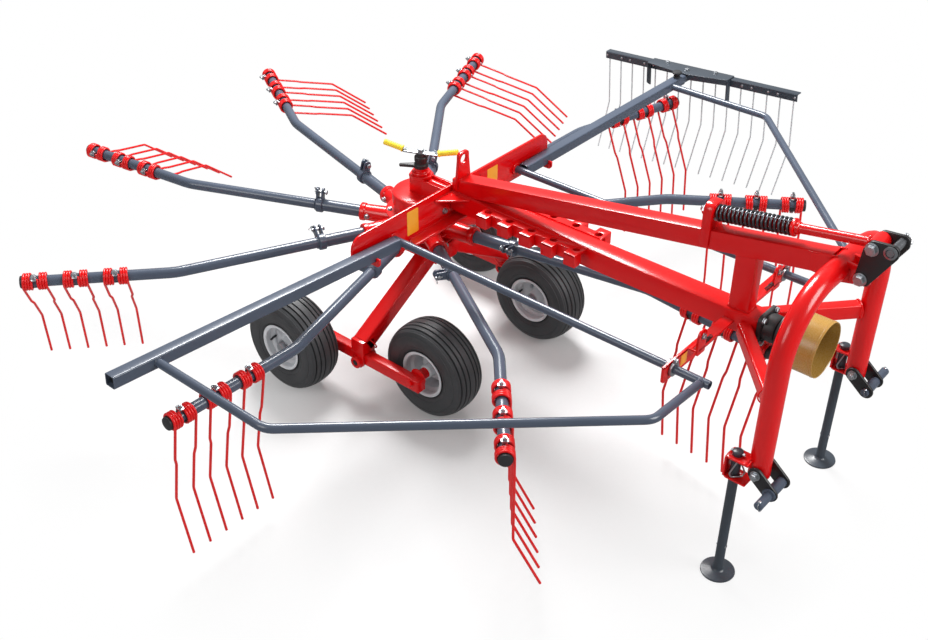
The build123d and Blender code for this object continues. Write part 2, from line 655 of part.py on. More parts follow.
# Lower beam: channel open below, with the rack for the tine arms on each side
with BuildPart() as lower_beam:
    block(
        (-LOWER_BEAM_HALF, LOWER_BEAM_FRONT_Y, LOWER_BEAM_LOW_Z),
        (LOWER_BEAM_HALF, web_front - FIT_CLEAR, LOWER_BEAM_TOP_Z),
    )
    block(
        (-LOWER_BEAM_HALF + SHEET, LOWER_BEAM_FRONT_Y + SHEET, LOWER_BEAM_LOW_Z - 1),
        (LOWER_BEAM_HALF - SHEET, web_front + 1, LOWER_BEAM_TOP_Z - SHEET),
        mode=Mode.SUBTRACT,
    )
    disc_y(0, LOWER_BEAM_FRONT_Y, DRIVE_Z, JOURNAL_R + MOVING_CLEAR, 60, mode=Mode.SUBTRACT)
    # Gusset on each side between the channel and the cross beam
    for side in SIDES.values():
        with BuildSketch(Plane.XY.offset(LOWER_BEAM_TOP_Z - SHEET)):
            with BuildLine():
                Polyline(
                    (side * (LOWER_BEAM_HALF - 2), web_front - FIT_CLEAR),
                    (side * (LOWER_BEAM_HALF + GUSSET_OUT), web_front - FIT_CLEAR),
                    (side * (LOWER_BEAM_HALF - 2), web_front - GUSSET_LONG),
                    close=True,
                )
            make_face()
        extrude(amount=SHEET)
    rack_front = RACK_REAR_Y - RACK_PITCH * (RACK_TABS - 1) - RACK_TAB_WIDTH
    for side in SIDES.values():
        edge = side * (LOWER_BEAM_HALF + RACK_OUT)
        block(
            (min(side * LOWER_BEAM_HALF, edge), rack_front, LOWER_BEAM_TOP_Z - SHEET),
            (max(side * LOWER_BEAM_HALF, edge), RACK_REAR_Y, LOWER_BEAM_TOP_Z),
        )
        block(
            (min(edge - side * SHEET, edge), rack_front, LOWER_BEAM_TOP_Z - RACK_DROP),
            (max(edge - side * SHEET, edge), RACK_REAR_Y, LOWER_BEAM_TOP_Z),
        )
        for tab in range(RACK_TABS):
            tab_y = RACK_REAR_Y - RACK_TAB_WIDTH / 2 - RACK_PITCH * tab
            with Locations((side * (LOWER_BEAM_HALF + RACK_OUT * 0.4), tab_y, LOWER_BEAM_TOP_Z)):
                Cylinder(RACK_HOLE_R, 4 * SHEET, mode=Mode.SUBTRACT)
            if tab < RACK_TABS - 1:
                notch_y = tab_y - RACK_PITCH / 2
                gap = (RACK_PITCH - RACK_TAB_WIDTH) / 2
                inner = side * (LOWER_BEAM_HALF + RACK_OUT * 0.45)
                block(
                    (min(inner, edge + side), notch_y - gap, LOWER_BEAM_TOP_Z - RACK_DROP - 1),
                    (max(inner, edge + side), notch_y + gap, LOWER_BEAM_TOP_Z + 1),
                    mode=Mode.SUBTRACT,
                )
keep(lower_beam, "lower_beam")


# Height of the upper beam's axis at a place along Y
def upper_beam_z(y):
    run = web_front - y
    return UPPER_BEAM_REAR_Z + run * math.tan(math.radians(UPPER_BEAM_SLOPE))


# Point on the axis of the spring damper
def damper_point(y):
    slope = (DAMPER_BOLT_Z - DAMPER_Z) / (DAMPER_BRACKET_Y - DAMPER_BOLT_Y)
    return (0, y, DAMPER_Z + (DAMPER_BRACKET_Y - y) * slope)


# Upper beam: sloping box, with the crane eye, the fork and the damper bracket
with BuildPart() as upper_beam:
    head_back = HEAD_Y + 6
    bar(
        (0, web_front - FIT_CLEAR, upper_beam_z(web_front - FIT_CLEAR)),
        (0, head_back, upper_beam_z(head_back)),
        UPPER_BEAM_WIDTH,
        UPPER_BEAM_HEIGHT,
    )
    block(
        (-200, -900, LOWER_BEAM_LOW_Z - 50),
        (200, 100, LOWER_BEAM_TOP_Z + FIT_CLEAR),
        mode=Mode.SUBTRACT,
    )
    block(
        (-200, web_front - FIT_CLEAR, LOWER_BEAM_LOW_Z),
        (200, 100, EYE_TOP_Z),
        mode=Mode.SUBTRACT,
    )
    disc_x(0, HEAD_Y, HEAD_TOP_Z, HEAD_TUBE_R + FIT_CLEAR, HEAD_HALF, mode=Mode.SUBTRACT)
    # Column down to the lower beam
    block(
        (-UPPER_BEAM_WIDTH / 2 + 4, COLUMN_Y - COLUMN_DEPTH / 2, LOWER_BEAM_TOP_Z + FIT_CLEAR),
        (UPPER_BEAM_WIDTH / 2 - 4, COLUMN_Y + COLUMN_DEPTH / 2, upper_beam_z(COLUMN_Y)),
    )
    # Crane eye
    with BuildSketch(Plane(origin=(0, EYE_Y, 0), x_dir=(1, 0, 0), z_dir=(0, -1, 0))):
        with BuildLine():
            top = EYE_TOP_Z - 26
            Polyline((26, top), (40, UPPER_BEAM_REAR_Z), (-40, UPPER_BEAM_REAR_Z), (-26, top))
            ThreePointArc((-26, top), (0, EYE_TOP_Z), (26, top))
        make_face()
        with Locations((0, top)):
            Circle(EYE_HOLE_R, mode=Mode.SUBTRACT)
    extrude(amount=EYE_THICK)
    # Bracket of the spring damper
    bracket_low = upper_beam_z(DAMPER_BRACKET_Y) - 20
    block(
        (-UPPER_BEAM_WIDTH / 2 - 8, DAMPER_BRACKET_Y - 24, bracket_low),
        (UPPER_BEAM_WIDTH / 2 + 8, DAMPER_BRACKET_Y + 6, DAMPER_BRACKET_TOP_Z),
    )
    fillet(upper_beam.edges().filter_by(Axis.Y).group_by(Axis.Z)[-1], 22)
    rod(
        damper_point(DAMPER_BRACKET_Y + 60), damper_point(DAMPER_BRACKET_Y - 60),
        DAMPER_ROD_R + FIT_CLEAR, mode=Mode.SUBTRACT,
    )
keep(upper_beam, "upper_beam")

# Headstock: bent tube, braces to the lower beam, fork and stand brackets
BRACE_ROOT_Y = STAY_FRONT_Y - BRACE_BEHIND_STAY
with BuildPart() as headstock:
    with BuildLine() as arch:
        FilletPolyline(
            (-HEAD_HALF, HEAD_Y, HEAD_LOW_Z),
            (-HEAD_HALF, HEAD_Y, HEAD_TOP_Z),
            (HEAD_HALF, HEAD_Y, HEAD_TOP_Z),
            (HEAD_HALF, HEAD_Y, HEAD_LOW_Z),
            radius=HEAD_BEND_R,
        )
    with BuildSketch(Plane(origin=arch.line @ 0, z_dir=arch.line % 0)):
        Circle(HEAD_TUBE_R)
    sweep(path=arch.line)
    for side in SIDES.values():
        bar(
            (side * LOWER_BEAM_HALF / 2, BRACE_ROOT_Y, BRACE_Z),
            (side * (HEAD_HALF - 14), HEAD_Y + 14, BRACE_Z),
            BRACE_WIDTH,
            BRACE_HEIGHT,
        )
        # Fork plate for the rocker
        fork_x = side * (UPPER_BEAM_WIDTH / 2 - FORK_THICK / 2)
        with BuildSketch(Plane(origin=(fork_x, 0, 0), x_dir=(0, 1, 0), z_dir=(1, 0, 0))):
            with BuildLine():
                Polyline(
                    (FORK_BOLT_Y, FORK_BOLT_Z - 24),
                    (HEAD_Y - 10, HEAD_TOP_Z - 50),
                    (HEAD_Y - 10, HEAD_TOP_Z + 22),
                    (FORK_BOLT_Y, FORK_BOLT_Z + 24),
                )
                ThreePointArc(
                    (FORK_BOLT_Y, FORK_BOLT_Z + 24),
                    (FORK_BOLT_Y - 24, FORK_BOLT_Z),
                    (FORK_BOLT_Y, FORK_BOLT_Z - 24),
                )
            make_face()
        extrude(amount=FORK_THICK / 2, both=True)
        # Stand bracket behind the leg: folded sheet with a top and a bottom plate
        stand_back = STAND_Y + STAND_BRACKET_HALF
        for low in (STAND_BRACKET_LOW_Z, STAND_BRACKET_TOP_Z - STAND_BRACKET_SHEET):
            block(
                (side * STAND_X - STAND_BRACKET_HALF, HEAD_Y, low),
                (side * STAND_X + STAND_BRACKET_HALF, stand_back, low + STAND_BRACKET_SHEET),
            )
        block(
            (side * STAND_X - STAND_BRACKET_HALF, stand_back - STAND_BRACKET_SHEET,
             STAND_BRACKET_LOW_Z),
            (side * STAND_X + STAND_BRACKET_HALF, stand_back, STAND_BRACKET_TOP_Z),
        )
    for side in SIDES.values():
        with Locations((side * STAND_X, STAND_Y, STAND_BRACKET_LOW_Z)):
            Cylinder(STAND_R + FIT_CLEAR, STAND_TOP_Z, mode=Mode.SUBTRACT)
        disc_x(
            side * HEAD_HALF, LUG_BOLT_Y, LUG_BOLT_Z,
            10 + FIT_CLEAR, 3 * HEAD_TUBE_R, mode=Mode.SUBTRACT,
        )
    # Room for the channel between the braces, and the bore of the fork bolt
    block(
        (-LOWER_BEAM_HALF - FIT_CLEAR, LOWER_BEAM_FRONT_Y, BRACE_Z - BRACE_HEIGHT),
        (LOWER_BEAM_HALF + FIT_CLEAR, STAY_Y, BRACE_Z + BRACE_HEIGHT),
        mode=Mode.SUBTRACT,
    )
    disc_x(
        0, FORK_BOLT_Y, FORK_BOLT_Z,
        10 + FIT_CLEAR, UPPER_BEAM_WIDTH + FORK_THICK, mode=Mode.SUBTRACT,
    )
keep(headstock, "headstock")

# Rocker: two plates on the fork bolt, with the damper bolt and the top link pin
with BuildPart() as rocker:
    for side in (-1, 1):
        plate_x = side * (ROCKER_GAP / 2 + ROCKER_THICK / 2)
        with BuildSketch(Plane(origin=(plate_x, 0, 0), x_dir=(0, 1, 0), z_dir=(1, 0, 0))):
            with BuildLine():
                Polyline(
                    (FORK_BOLT_Y - 20, FORK_BOLT_Z),
                    (TOP_PIN_Y - 22, TOP_PIN_Z - 10),
                    (TOP_PIN_Y - 14, TOP_PIN_Z + 20),
                    (DAMPER_BOLT_Y + 10, DAMPER_BOLT_Z + 24),
                    (DAMPER_BOLT_Y + 24, DAMPER_BOLT_Z),
                    (FORK_BOLT_Y + 20, FORK_BOLT_Z),
                )
                ThreePointArc(
                    (FORK_BOLT_Y + 20, FORK_BOLT_Z),
                    (FORK_BOLT_Y, FORK_BOLT_Z - 20),
                    (FORK_BOLT_Y - 20, FORK_BOLT_Z),
                )
            make_face()
        extrude(amount=ROCKER_THICK / 2, both=True)
    half = ROCKER_GAP / 2 + ROCKER_THICK
    disc_x(0, FORK_BOLT_Y, FORK_BOLT_Z, 10, 2 * half + 24)
    disc_x(0, DAMPER_BOLT_Y, DAMPER_BOLT_Z, 10, 2 * half + 24)
    disc_x(0, TOP_PIN_Y, TOP_PIN_Z, TOP_PIN_R, 2 * half + 24)
keep(rocker, "rocker")

# Spring damper: rod from the bracket to the rocker, and the spring round it
with BuildPart() as damper_rod:
    rod(damper_point(DAMPER_BRACKET_Y + 26), damper_point(DAMPER_BOLT_Y + 22), DAMPER_ROD_R)
    disc_x(0, DAMPER_BOLT_Y, DAMPER_BOLT_Z, 24, ROCKER_GAP - 2 * FIT_CLEAR)
    disc_x(0, DAMPER_BOLT_Y, DAMPER_BOLT_Z, 10 + FIT_CLEAR, ROCKER_GAP + 10, mode=Mode.SUBTRACT)
    seat = DAMPER_BRACKET_Y - 24 - FIT_CLEAR - SPRING_LENGTH
    rod(damper_point(seat), damper_point(seat - 8), SPRING_R)
keep(damper_rod, "damper_rod")

with BuildPart() as damper_spring:
    spring_start = DAMPER_BRACKET_Y - 24 - 6
    rod(
        damper_point(spring_start), damper_point(seat + FIT_CLEAR + 1),
        SPRING_R, bore=DAMPER_ROD_R + FIT_CLEAR,
    )
keep(damper_spring, "damper_spring")

# Lower hitch: pairs of swing plates at the feet of the headstock, and the link pins
with BuildPart() as hitch_lugs:
    for side in SIDES.values():
        for out in (-1, 1):
            plate_x = side * HEAD_HALF + out * (HEAD_TUBE_R + FIT_CLEAR + LUG_THICK / 2)
            with BuildSketch(Plane(
                origin=(plate_x, LUG_BOLT_Y, LUG_BOLT_Z),
                x_dir=(0, LUG_PIN_Y - LUG_BOLT_Y, LUG_PIN_Z - LUG_BOLT_Z),
                z_dir=(1, 0, 0),
            )):
                reach = math.hypot(LUG_PIN_Y - LUG_BOLT_Y, LUG_PIN_Z - LUG_BOLT_Z)
                SlotCenterPoint((reach / 2, 0), (reach, 0), 2 * LUG_R)
            extrude(amount=LUG_THICK / 2, both=True)
        disc_x(
            side * HEAD_HALF, LUG_BOLT_Y, LUG_BOLT_Z,
            10, 2 * (HEAD_TUBE_R + LUG_THICK + 12),
        )
        disc_x(
            side * (LOWER_PIN_IN + LOWER_PIN_OUT) / 2, LUG_PIN_Y, LUG_PIN_Z,
            LOWER_PIN_R, LOWER_PIN_OUT - LOWER_PIN_IN,
        )
keep(hitch_lugs, "hitch_lugs")

# Stands: tube in the bracket, with a dished foot
for name, side in SIDES.items():
    with BuildPart() as stand:
        with BuildSketch(Plane(origin=(side * STAND_X, STAND_Y, 0), x_dir=(1, 0, 0), z_dir=(0, -1, 0))):
            with BuildLine():
                Polyline(
                    (0, 0),
                    (FOOT_R - 6, 0),
                    (FOOT_R, 4),
                    (FOOT_R, 6),
                    (STAND_R, FOOT_HEIGHT),
                    (STAND_R, STAND_TOP_Z),
                    (0, STAND_TOP_Z),
                    close=True,
                )
            make_face()
        revolve(axis=Axis((side * STAND_X, STAND_Y, 0), (0, 0, 1)))
    keep(stand, "stand_" + name)

BEARING_REAR_Y = LOWER_BEAM_FRONT_Y - FIT_CLEAR
BEARING_FRONT_Y = BEARING_REAR_Y - BEARING_LENGTH

# Drive shaft through the channel, with the splined stub under the guard
with BuildPart() as drive_shaft:
    rod((0, DRIVE_REAR_Y, DRIVE_Z), (0, BEARING_REAR_Y + 30, DRIVE_Z), DRIVE_R)
    rod((0, BEARING_REAR_Y + 30, DRIVE_Z), (0, BEARING_FRONT_Y - 4, DRIVE_Z), JOURNAL_R)
    rod((0, BEARING_FRONT_Y - 4, DRIVE_Z), (0, STUB_FRONT_Y, DRIVE_Z), STUB_R)
    rod((0, web_front - 40, DRIVE_Z), (0, web_front - 130, DRIVE_Z), 26)
keep(drive_shaft, "drive_shaft")

# Bearing housing on the front end of the channel
with BuildPart() as bearing_housing:
    rod((0, BEARING_REAR_Y, DRIVE_Z), (0, BEARING_FRONT_Y, DRIVE_Z), BEARING_R)
    block(
        (-BEARING_FLANGE / 2, BEARING_REAR_Y - 14, DRIVE_Z - BEARING_FLANGE / 2),
        (BEARING_FLANGE / 2, BEARING_REAR_Y, DRIVE_Z + BEARING_FLANGE / 2),
    )
    disc_y(
        0, BEARING_REAR_Y, DRIVE_Z,
        JOURNAL_R + RUNNING_CLEAR, 4 * BEARING_LENGTH, mode=Mode.SUBTRACT,
    )
keep(bearing_housing, "bearing_housing")

# Round guard over the stub
with BuildPart() as pto_guard:
    rod(
        (0, BEARING_FRONT_Y - FIT_CLEAR, DRIVE_Z), (0, PTO_GUARD_FRONT_Y, DRIVE_Z),
        PTO_GUARD_R, bore=PTO_GUARD_R - PTO_GUARD_WALL,
    )
    rod(
        (0, BEARING_FRONT_Y - FIT_CLEAR, DRIVE_Z), (0, BEARING_FRONT_Y - FIT_CLEAR - 4, DRIVE_Z),
        PTO_GUARD_R - 1, bore=STUB_R + 8,
    )
keep(pto_guard, "pto_guard")

# Front stay: bar across the lower beam that carries the hinge rings and latch plates
with BuildPart() as front_stay:
    block(
        (-STAY_HALF, STAY_Y - STAY_THICK / 2, STAY_LOW_Z),
        (STAY_HALF, STAY_Y + STAY_THICK / 2, STAY_TOP_Z),
    )
    block(
        (-STAY_HALF, STAY_FRONT_Y, STAY_TOP_Z - 6),
        (STAY_HALF, STAY_Y + STAY_THICK / 2, STAY_TOP_Z),
    )
    # Latch plate with a round nose, standing on the lip on each side
    for side in SIDES.values():
        with BuildSketch(Plane(origin=(side * LATCH_X, STAY_FRONT_Y, 0), x_dir=(1, 0, 0), z_dir=(0, -1, 0))):
            with BuildLine():
                Polyline(
                    (-LATCH_HALF, LATCH_TOP_Z - LATCH_HALF),
                    (-LATCH_HALF, STAY_TOP_Z - LATCH_HALF),
                    (LATCH_HALF, STAY_TOP_Z - LATCH_HALF),
                    (LATCH_HALF, LATCH_TOP_Z - LATCH_HALF),
                )
                ThreePointArc(
                    (LATCH_HALF, LATCH_TOP_Z - LATCH_HALF),
                    (0, LATCH_TOP_Z),
                    (-LATCH_HALF, LATCH_TOP_Z - LATCH_HALF),
                )
            make_face()
        extrude(amount=-STAY_THICK)
    for side in SIDES.values():
        disc_y(side * HINGE_X, STAY_Y, HINGE_Z, RING_R, RING_WIDTH)
        disc_y(
            side * HINGE_X, STAY_Y, HINGE_Z,
            HINGE_TUBE_R + RUNNING_CLEAR, 100, mode=Mode.SUBTRACT,
        )
    block(
        (-LOWER_BEAM_HALF - FIT_CLEAR, STAY_Y - 60, LOWER_BEAM_LOW_Z - 40),
        (LOWER_BEAM_HALF + FIT_CLEAR, STAY_Y + 60, LOWER_BEAM_TOP_Z + FIT_CLEAR),
        mode=Mode.SUBTRACT,
    )
keep(front_stay, "front_stay")


# Guard frame in the plane of its side: hinge tube, square tube and round hoop
def guard(side, tilt, end):
    pivot = Vector(side * HINGE_X, 0, HINGE_Z)
    out = Vector(side, 0, 0).rotate(Axis.Y, -side * tilt)

    def at(x, y):
        reach = out * (x - HINGE_X)
        return (pivot.X + reach.X, y, pivot.Z + reach.Z)

    rod((pivot.X, CROSS_Y, HINGE_Z), (pivot.X, HINGE_FRONT_Y, HINGE_Z), HINGE_TUBE_R)
    hinge_tip = (pivot.X, HINGE_FRONT_Y, HINGE_Z)
    face = Plane(origin=at(HINGE_X, GUARD_Y), x_dir=(0, 1, 0), z_dir=out)
    with BuildSketch(face) as section:
        Rectangle(GUARD_TUBE, GUARD_TUBE)
    extrude(section.sketch, amount=end - HINGE_X)
    with BuildLine() as hoop:
        FilletPolyline(
            at(HOOP_WELD_X, GUARD_Y - GUARD_TUBE / 2 + 2),
            at(HOOP_WELD_X, HOOP_SIDE_Y),
            at(HOOP_CORNER_X, HOOP_FRONT_Y),
            at(HINGE_X, HOOP_FRONT_Y),
            radius=HOOP_BEND_R,
        )
    with BuildSketch(Plane(origin=hoop.line @ 0, z_dir=hoop.line % 0)) as section:
        Circle(HOOP_R)
    sweep(section.sketch, path=hoop.line)
    rod(
        hinge_tip, (pivot.X, HINGE_FRONT_Y + 12, HINGE_Z),
        HINGE_TUBE_R - HOOP_WALL, mode=Mode.SUBTRACT,
    )
    with BuildSketch(face.offset(end - HINGE_X - CURTAIN_ARM - 20)) as section:
        Rectangle(GUARD_TUBE - 2 * GUARD_TUBE_WALL, GUARD_TUBE - 2 * GUARD_TUBE_WALL)
    extrude(section.sketch, amount=CURTAIN_ARM + 40, mode=Mode.SUBTRACT)


with BuildPart() as guard_left:
    guard(SIDES["left"], 0.0, GUARD_END_LEFT)
keep(guard_left, "guard_left")

with BuildPart() as guard_right:
    guard(SIDES["right"], RIGHT_GUARD_TILT, GUARD_END_RIGHT)
keep(guard_right, "guard_right")

# Curtain arm: square tube that slides in the end of the left guard
curtain_x = GUARD_END_LEFT + CURTAIN_REACH
with BuildPart() as curtain_arm:
    inner = GUARD_TUBE - 2 * GUARD_TUBE_WALL - 2 * FIT_CLEAR
    block(
        (GUARD_END_LEFT - CURTAIN_ARM, GUARD_Y - inner / 2, HINGE_Z - inner / 2),
        (curtain_x - CURTAIN_BAR_SIDE / 2 - FIT_CLEAR, GUARD_Y + inner / 2, HINGE_Z + inner / 2),
    )
keep(curtain_arm, "curtain_arm")

# Curtain bar and head sheet, tipped a little about the arm
curtain_plane = Plane(
    origin=(curtain_x, GUARD_Y, HINGE_Z), x_dir=(1, 0, 0), z_dir=(0, 0, 1)
).rotated((CURTAIN_TILT, 0, 0))
head_low = inner / 2 * (1 + math.sin(math.radians(abs(CURTAIN_TILT)))) + FIT_CLEAR
bar_z = head_low - FIT_CLEAR - CURTAIN_BAR_SIDE / 2
with BuildPart(curtain_plane) as curtain_bar:
    with Locations((0, CURTAIN_BAR_SHIFT, bar_z)):
        Box(CURTAIN_BAR_SIDE, CURTAIN_BAR, CURTAIN_BAR_SIDE)
    with Locations((CURTAIN_BAR_WALL, CURTAIN_BAR_SHIFT, bar_z - CURTAIN_BAR_WALL)):
        Box(CURTAIN_BAR_SIDE, CURTAIN_BAR + 2, CURTAIN_BAR_SIDE, mode=Mode.SUBTRACT)
keep(curtain_bar, "curtain_bar")

with BuildPart(curtain_plane) as curtain_head:
    outer_x = CURTAIN_BAR_SIDE / 2
    inner_x = -CURTAIN_REACH + MOVING_CLEAR
    wing_x = -CURTAIN_BAR_SIDE / 2 - HEAD_SHEET_SIDE
    with BuildSketch(curtain_plane.offset(head_low)):
        with BuildLine():
            Polyline(
                (outer_x, -HEAD_SHEET_WIDTH / 2),
                (outer_x, HEAD_SHEET_WIDTH / 2),
                (wing_x, HEAD_SHEET_WIDTH / 2),
                (inner_x, GUARD_TUBE / 2),
                (inner_x, -GUARD_TUBE / 2),
                (wing_x, -HEAD_SHEET_WIDTH / 2),
                close=True,
            )
        make_face()
    extrude(amount=HEAD_SHEET)
    for way in (-1, 1):
        with Locations((
            (wing_x - CURTAIN_BAR_SIDE / 2 - FIT_CLEAR) / 2,
            way * (HEAD_SHEET_WIDTH - HEAD_SHEET) / 2,
            head_low - HEAD_SHEET_DROP / 2,
        )):
            Box(HEAD_SHEET_SIDE - FIT_CLEAR, HEAD_SHEET, HEAD_SHEET_DROP + 1)
keep(curtain_head, "curtain_head")

with BuildPart() as curtain_tines:
    for index in range(CURTAIN_TINES):
        along = CURTAIN_BAR_SHIFT + (index - (CURTAIN_TINES - 1) / 2) * CURTAIN_TINE_PITCH
        lean = math.radians(CURTAIN_TINE_ANGLE)
        tine_x = -CURTAIN_BAR_SIDE / 2 + CURTAIN_BAR_WALL + CURTAIN_TINE_R + FIT_CLEAR
        top_z = bar_z + CURTAIN_BAR_SIDE / 2 - CURTAIN_BAR_WALL - FIT_CLEAR
        knee_z = top_z - CURTAIN_TINE_UPPER
        with BuildLine() as wire:
            Polyline(
                curtain_plane.from_local_coords(Vector(tine_x, along, top_z)),
                curtain_plane.from_local_coords(Vector(tine_x, along, knee_z)),
                curtain_plane.from_local_coords(Vector(
                    tine_x,
                    along + CURTAIN_TINE_LOWER * math.sin(lean),
                    knee_z - CURTAIN_TINE_LOWER * math.cos(lean),
                )),
            )
        with BuildSketch(Plane(origin=wire.line @ 0, z_dir=wire.line % 0)):
            Circle(CURTAIN_TINE_R)
        sweep(path=wire.line, transition=Transition.RIGHT)
keep(curtain_tines, "curtain_tines")

# Crank on the neck of the gear case
crank_dir = Vector(1, 0, 0).rotate(Axis.Z, CRANK_ANGLE)
with BuildPart() as crank:
    with Locations((0, 0, (CASE_NECK_TOP_Z + CRANK_Z) / 2)):
        Cylinder(CASE_NECK_R - 1, CRANK_Z - CASE_NECK_TOP_Z - 2 * FIT_CLEAR)
    with BuildSketch(Plane(origin=(0, 0, CRANK_Z - FIT_CLEAR), x_dir=crank_dir, z_dir=(0, 0, 1))):
        SlotOverall(2 * (CRANK_HALF - GRIP_LENGTH), CRANK_WIDTH)
    extrude(amount=CRANK_THICK)
    for way in (-1, 1):
        inner_end = crank_dir * (way * (CRANK_HALF - GRIP_LENGTH - 14))
        outer_end = crank_dir * (way * (CRANK_HALF + 2))
        rod(
            (inner_end.X, inner_end.Y, CRANK_Z + CRANK_THICK / 2),
            (outer_end.X, outer_end.Y, CRANK_Z + CRANK_RISE),
            CRANK_ROD_R,
        )
keep(crank, "crank")

with BuildPart() as crank_grips:
    for way in (-1, 1):
        foot = Vector(0, 0, CRANK_Z + CRANK_THICK / 2) + crank_dir * (way * (CRANK_HALF - GRIP_LENGTH - 14))
        top = Vector(0, 0, CRANK_Z + CRANK_RISE) + crank_dir * (way * (CRANK_HALF + 2))
        along = (top - foot).normalized()
        rod(foot + along * 22, top - along * 4, GRIP_R, bore=CRANK_ROD_R + FIT_CLEAR)
keep(crank_grips, "crank_grips")

# Move everything so that the origin is the bottom centre, and write the files
boxes = [piece.bounding_box() for piece in pieces]
low = [min(tuple(box.min)[axis] for box in boxes) for axis in range(3)]
high = [max(tuple(box.max)[axis] for box in boxes) for axis in range(3)]
SHIFT = Vector(-(low[0] + high[0]) / 2, -(low[1] + high[1]) / 2, -low[2])
for piece in pieces:
    placed = Location(SHIFT) * piece
    placed.label = piece.label
    export_step(placed, "parts/" + piece.label + ".step")
print("shift", SHIFT.X, SHIFT.Y, SHIFT.Z)
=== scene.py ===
# Looks of a single-rotor hay rake, as it parks on its two stands.
# Pieces are drawn in millimetres: X towards the swath curtain, Y away from the tractor,
# Z up, from the point on the ground under the rotor axis. They are placed in metres.

import math

import bmesh
import bpy
from mathutils import Matrix, Vector


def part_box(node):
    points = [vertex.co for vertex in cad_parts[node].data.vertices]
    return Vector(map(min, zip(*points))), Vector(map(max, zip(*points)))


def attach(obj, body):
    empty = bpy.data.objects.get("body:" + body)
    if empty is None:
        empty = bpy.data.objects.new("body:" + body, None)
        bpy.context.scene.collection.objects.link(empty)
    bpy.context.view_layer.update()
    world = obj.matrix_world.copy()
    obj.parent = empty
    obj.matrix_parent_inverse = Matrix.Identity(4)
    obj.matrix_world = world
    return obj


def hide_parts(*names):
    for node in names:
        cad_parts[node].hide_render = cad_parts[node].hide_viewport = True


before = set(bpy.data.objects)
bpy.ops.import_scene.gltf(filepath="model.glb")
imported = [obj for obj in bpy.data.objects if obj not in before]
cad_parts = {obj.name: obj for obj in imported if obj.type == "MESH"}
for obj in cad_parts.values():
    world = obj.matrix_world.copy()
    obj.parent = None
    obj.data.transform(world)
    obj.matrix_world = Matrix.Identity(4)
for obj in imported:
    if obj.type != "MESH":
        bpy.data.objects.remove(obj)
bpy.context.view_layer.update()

bl_info = {
    "name": "Rotary hay rake",
    "version": (1, 0, 0),
    "blender": (4, 5, 0),
    "location": "View3D > Sidebar > Rake",
    "description": "Builds the looks of a single-rotor hay rake round its packed solids",
    "category": "Object",
}

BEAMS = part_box("bogie_beams")
# The bogie beams reach 284 mm each way from a point 80 mm in front of the rotor axis
ORIGIN = Vector(((BEAMS[0].x + BEAMS[1].x) / 2, (BEAMS[0].y + BEAMS[1].y) / 2 + 0.080, 0.0))

# Sizes that several pieces share, in millimetres and degrees

# Rotor: arms, coils and tines
ARM_COUNT = 9
ARM_START = -3.0
ARM_RISE = 2.2
ARM_ROOT_Z = 520.0
INNER_TUBE_R = 22.5
OUTER_TUBE_R = 19.0
SOCKET_OUT = 236.0
COLLAR_AT = 387.0
BEND_AT = 928.0
BEND_ANGLE = 16.0
BEND_R = 160.0
BEND_TO_COIL = 488.0
ARM_TIP = 18.0
COIL_R = 25.75               # middle of the wire
COIL_TURNS = 3.25
COIL_STEPS = 85
COIL_HALF_PITCH = 28.5
PAIR_PITCH = 131.0
PAIRS = 3
TINE_TRAIL = [28, 76, 78, 76, 40, 10, 0, 21, 14]
TINE_KNEE = 303.0
TINE_TIP = 198.0
TINE_TOE = 25.0

# Wheels and bogie
WHEEL_R = 182.5
RIM_R = 82.0
BOGIE_X = 415.0
BOGIE_Z = 160.0
REAR_AXLE_Y = 170.0
FRONT_AXLE_Y = -330.0
BOGIE_Y = (REAR_AXLE_Y + FRONT_AXLE_Y) / 2
REAR_WHEEL_X = 525.0
FRONT_WHEEL_X = 309.0
BEAM_TOP_Z = 193.5

# Cross beam and the guards' hinge tubes
CROSS_Y = -165.0
WEB_Y = -173.0
HINGE_X = 335.0
HINGE_Z = 663.0
HINGE_R = 13.5

# Beams and storage racks
BEAM_TOP = 722.0
BEAM_LOW = 654.0
BEAM_FRONT_Y = -1395.0
RACK_START = -345.0
RACK_PITCH = 93.0
RACK_TAB = 46.0
RACK_TABS = 5
COLUMN_Y = -1315.0
UPPER_SLOPE = math.tan(math.radians(10.2))

# Headstock, hitch, drive and stands
HEAD_Y = -1595.0
HEAD_HALF = 312.0
HEAD_R = 32.5
HEAD_TOP_Z = 990.0
DRIVE_Z = 690.0
DAMPER = (Vector((0, -1168, 998.4)), Vector((0, -1678, 1088)))
FORK = Vector((0, -1664, 986))
TOP_PIN = Vector((0, -1731, 1100))
LUG = (Vector((0, -1602, 442)), Vector((0, -1654, 400)))
STAND_X = HEAD_HALF + 30
STAND_Y = -1534.0

# Front stay and the guards' latches
STAY_Y = -1282.0
STAY_HALF = 384.0
STAY_LIP_HALF = 253.0
LATCH_X = 228.0
LATCH_EYE_Z = 733.0

# Guards and swath curtain
GUARD_Y = -202.0
GUARD_ENDS = {"left": 1445.0, "right": 1500.0}
GUARD_TILTS = {"left": 0.0, "right": 4.3}
SIDES = {"left": 1, "right": -1}
CURTAIN_X = 1530.0
CURTAIN_TILT = math.radians(-4)
CURTAIN_SHIFT = -35.0
CURTAIN_TINES = 16
CURTAIN_PITCH = 61.0
BAR_Z = 1.2

CRANK_DIR = Vector((math.cos(math.radians(-67)), math.sin(math.radians(-67)), 0))
SHARP_EDGE = math.radians(32)
X = Vector((1, 0, 0))
Y = Vector((0, 1, 0))
Z = Vector((0, 0, 1))


# Shapes, added in millimetres to an open bmesh


def across(along, hint=Z):
    """Two directions square to a line: the first level where it can be, the second the other way up."""
    along = along.normalized()
    first = hint.cross(along)
    if first.length < 1e-3:
        first = X.copy()
    first.normalize()
    return first, along.cross(first)


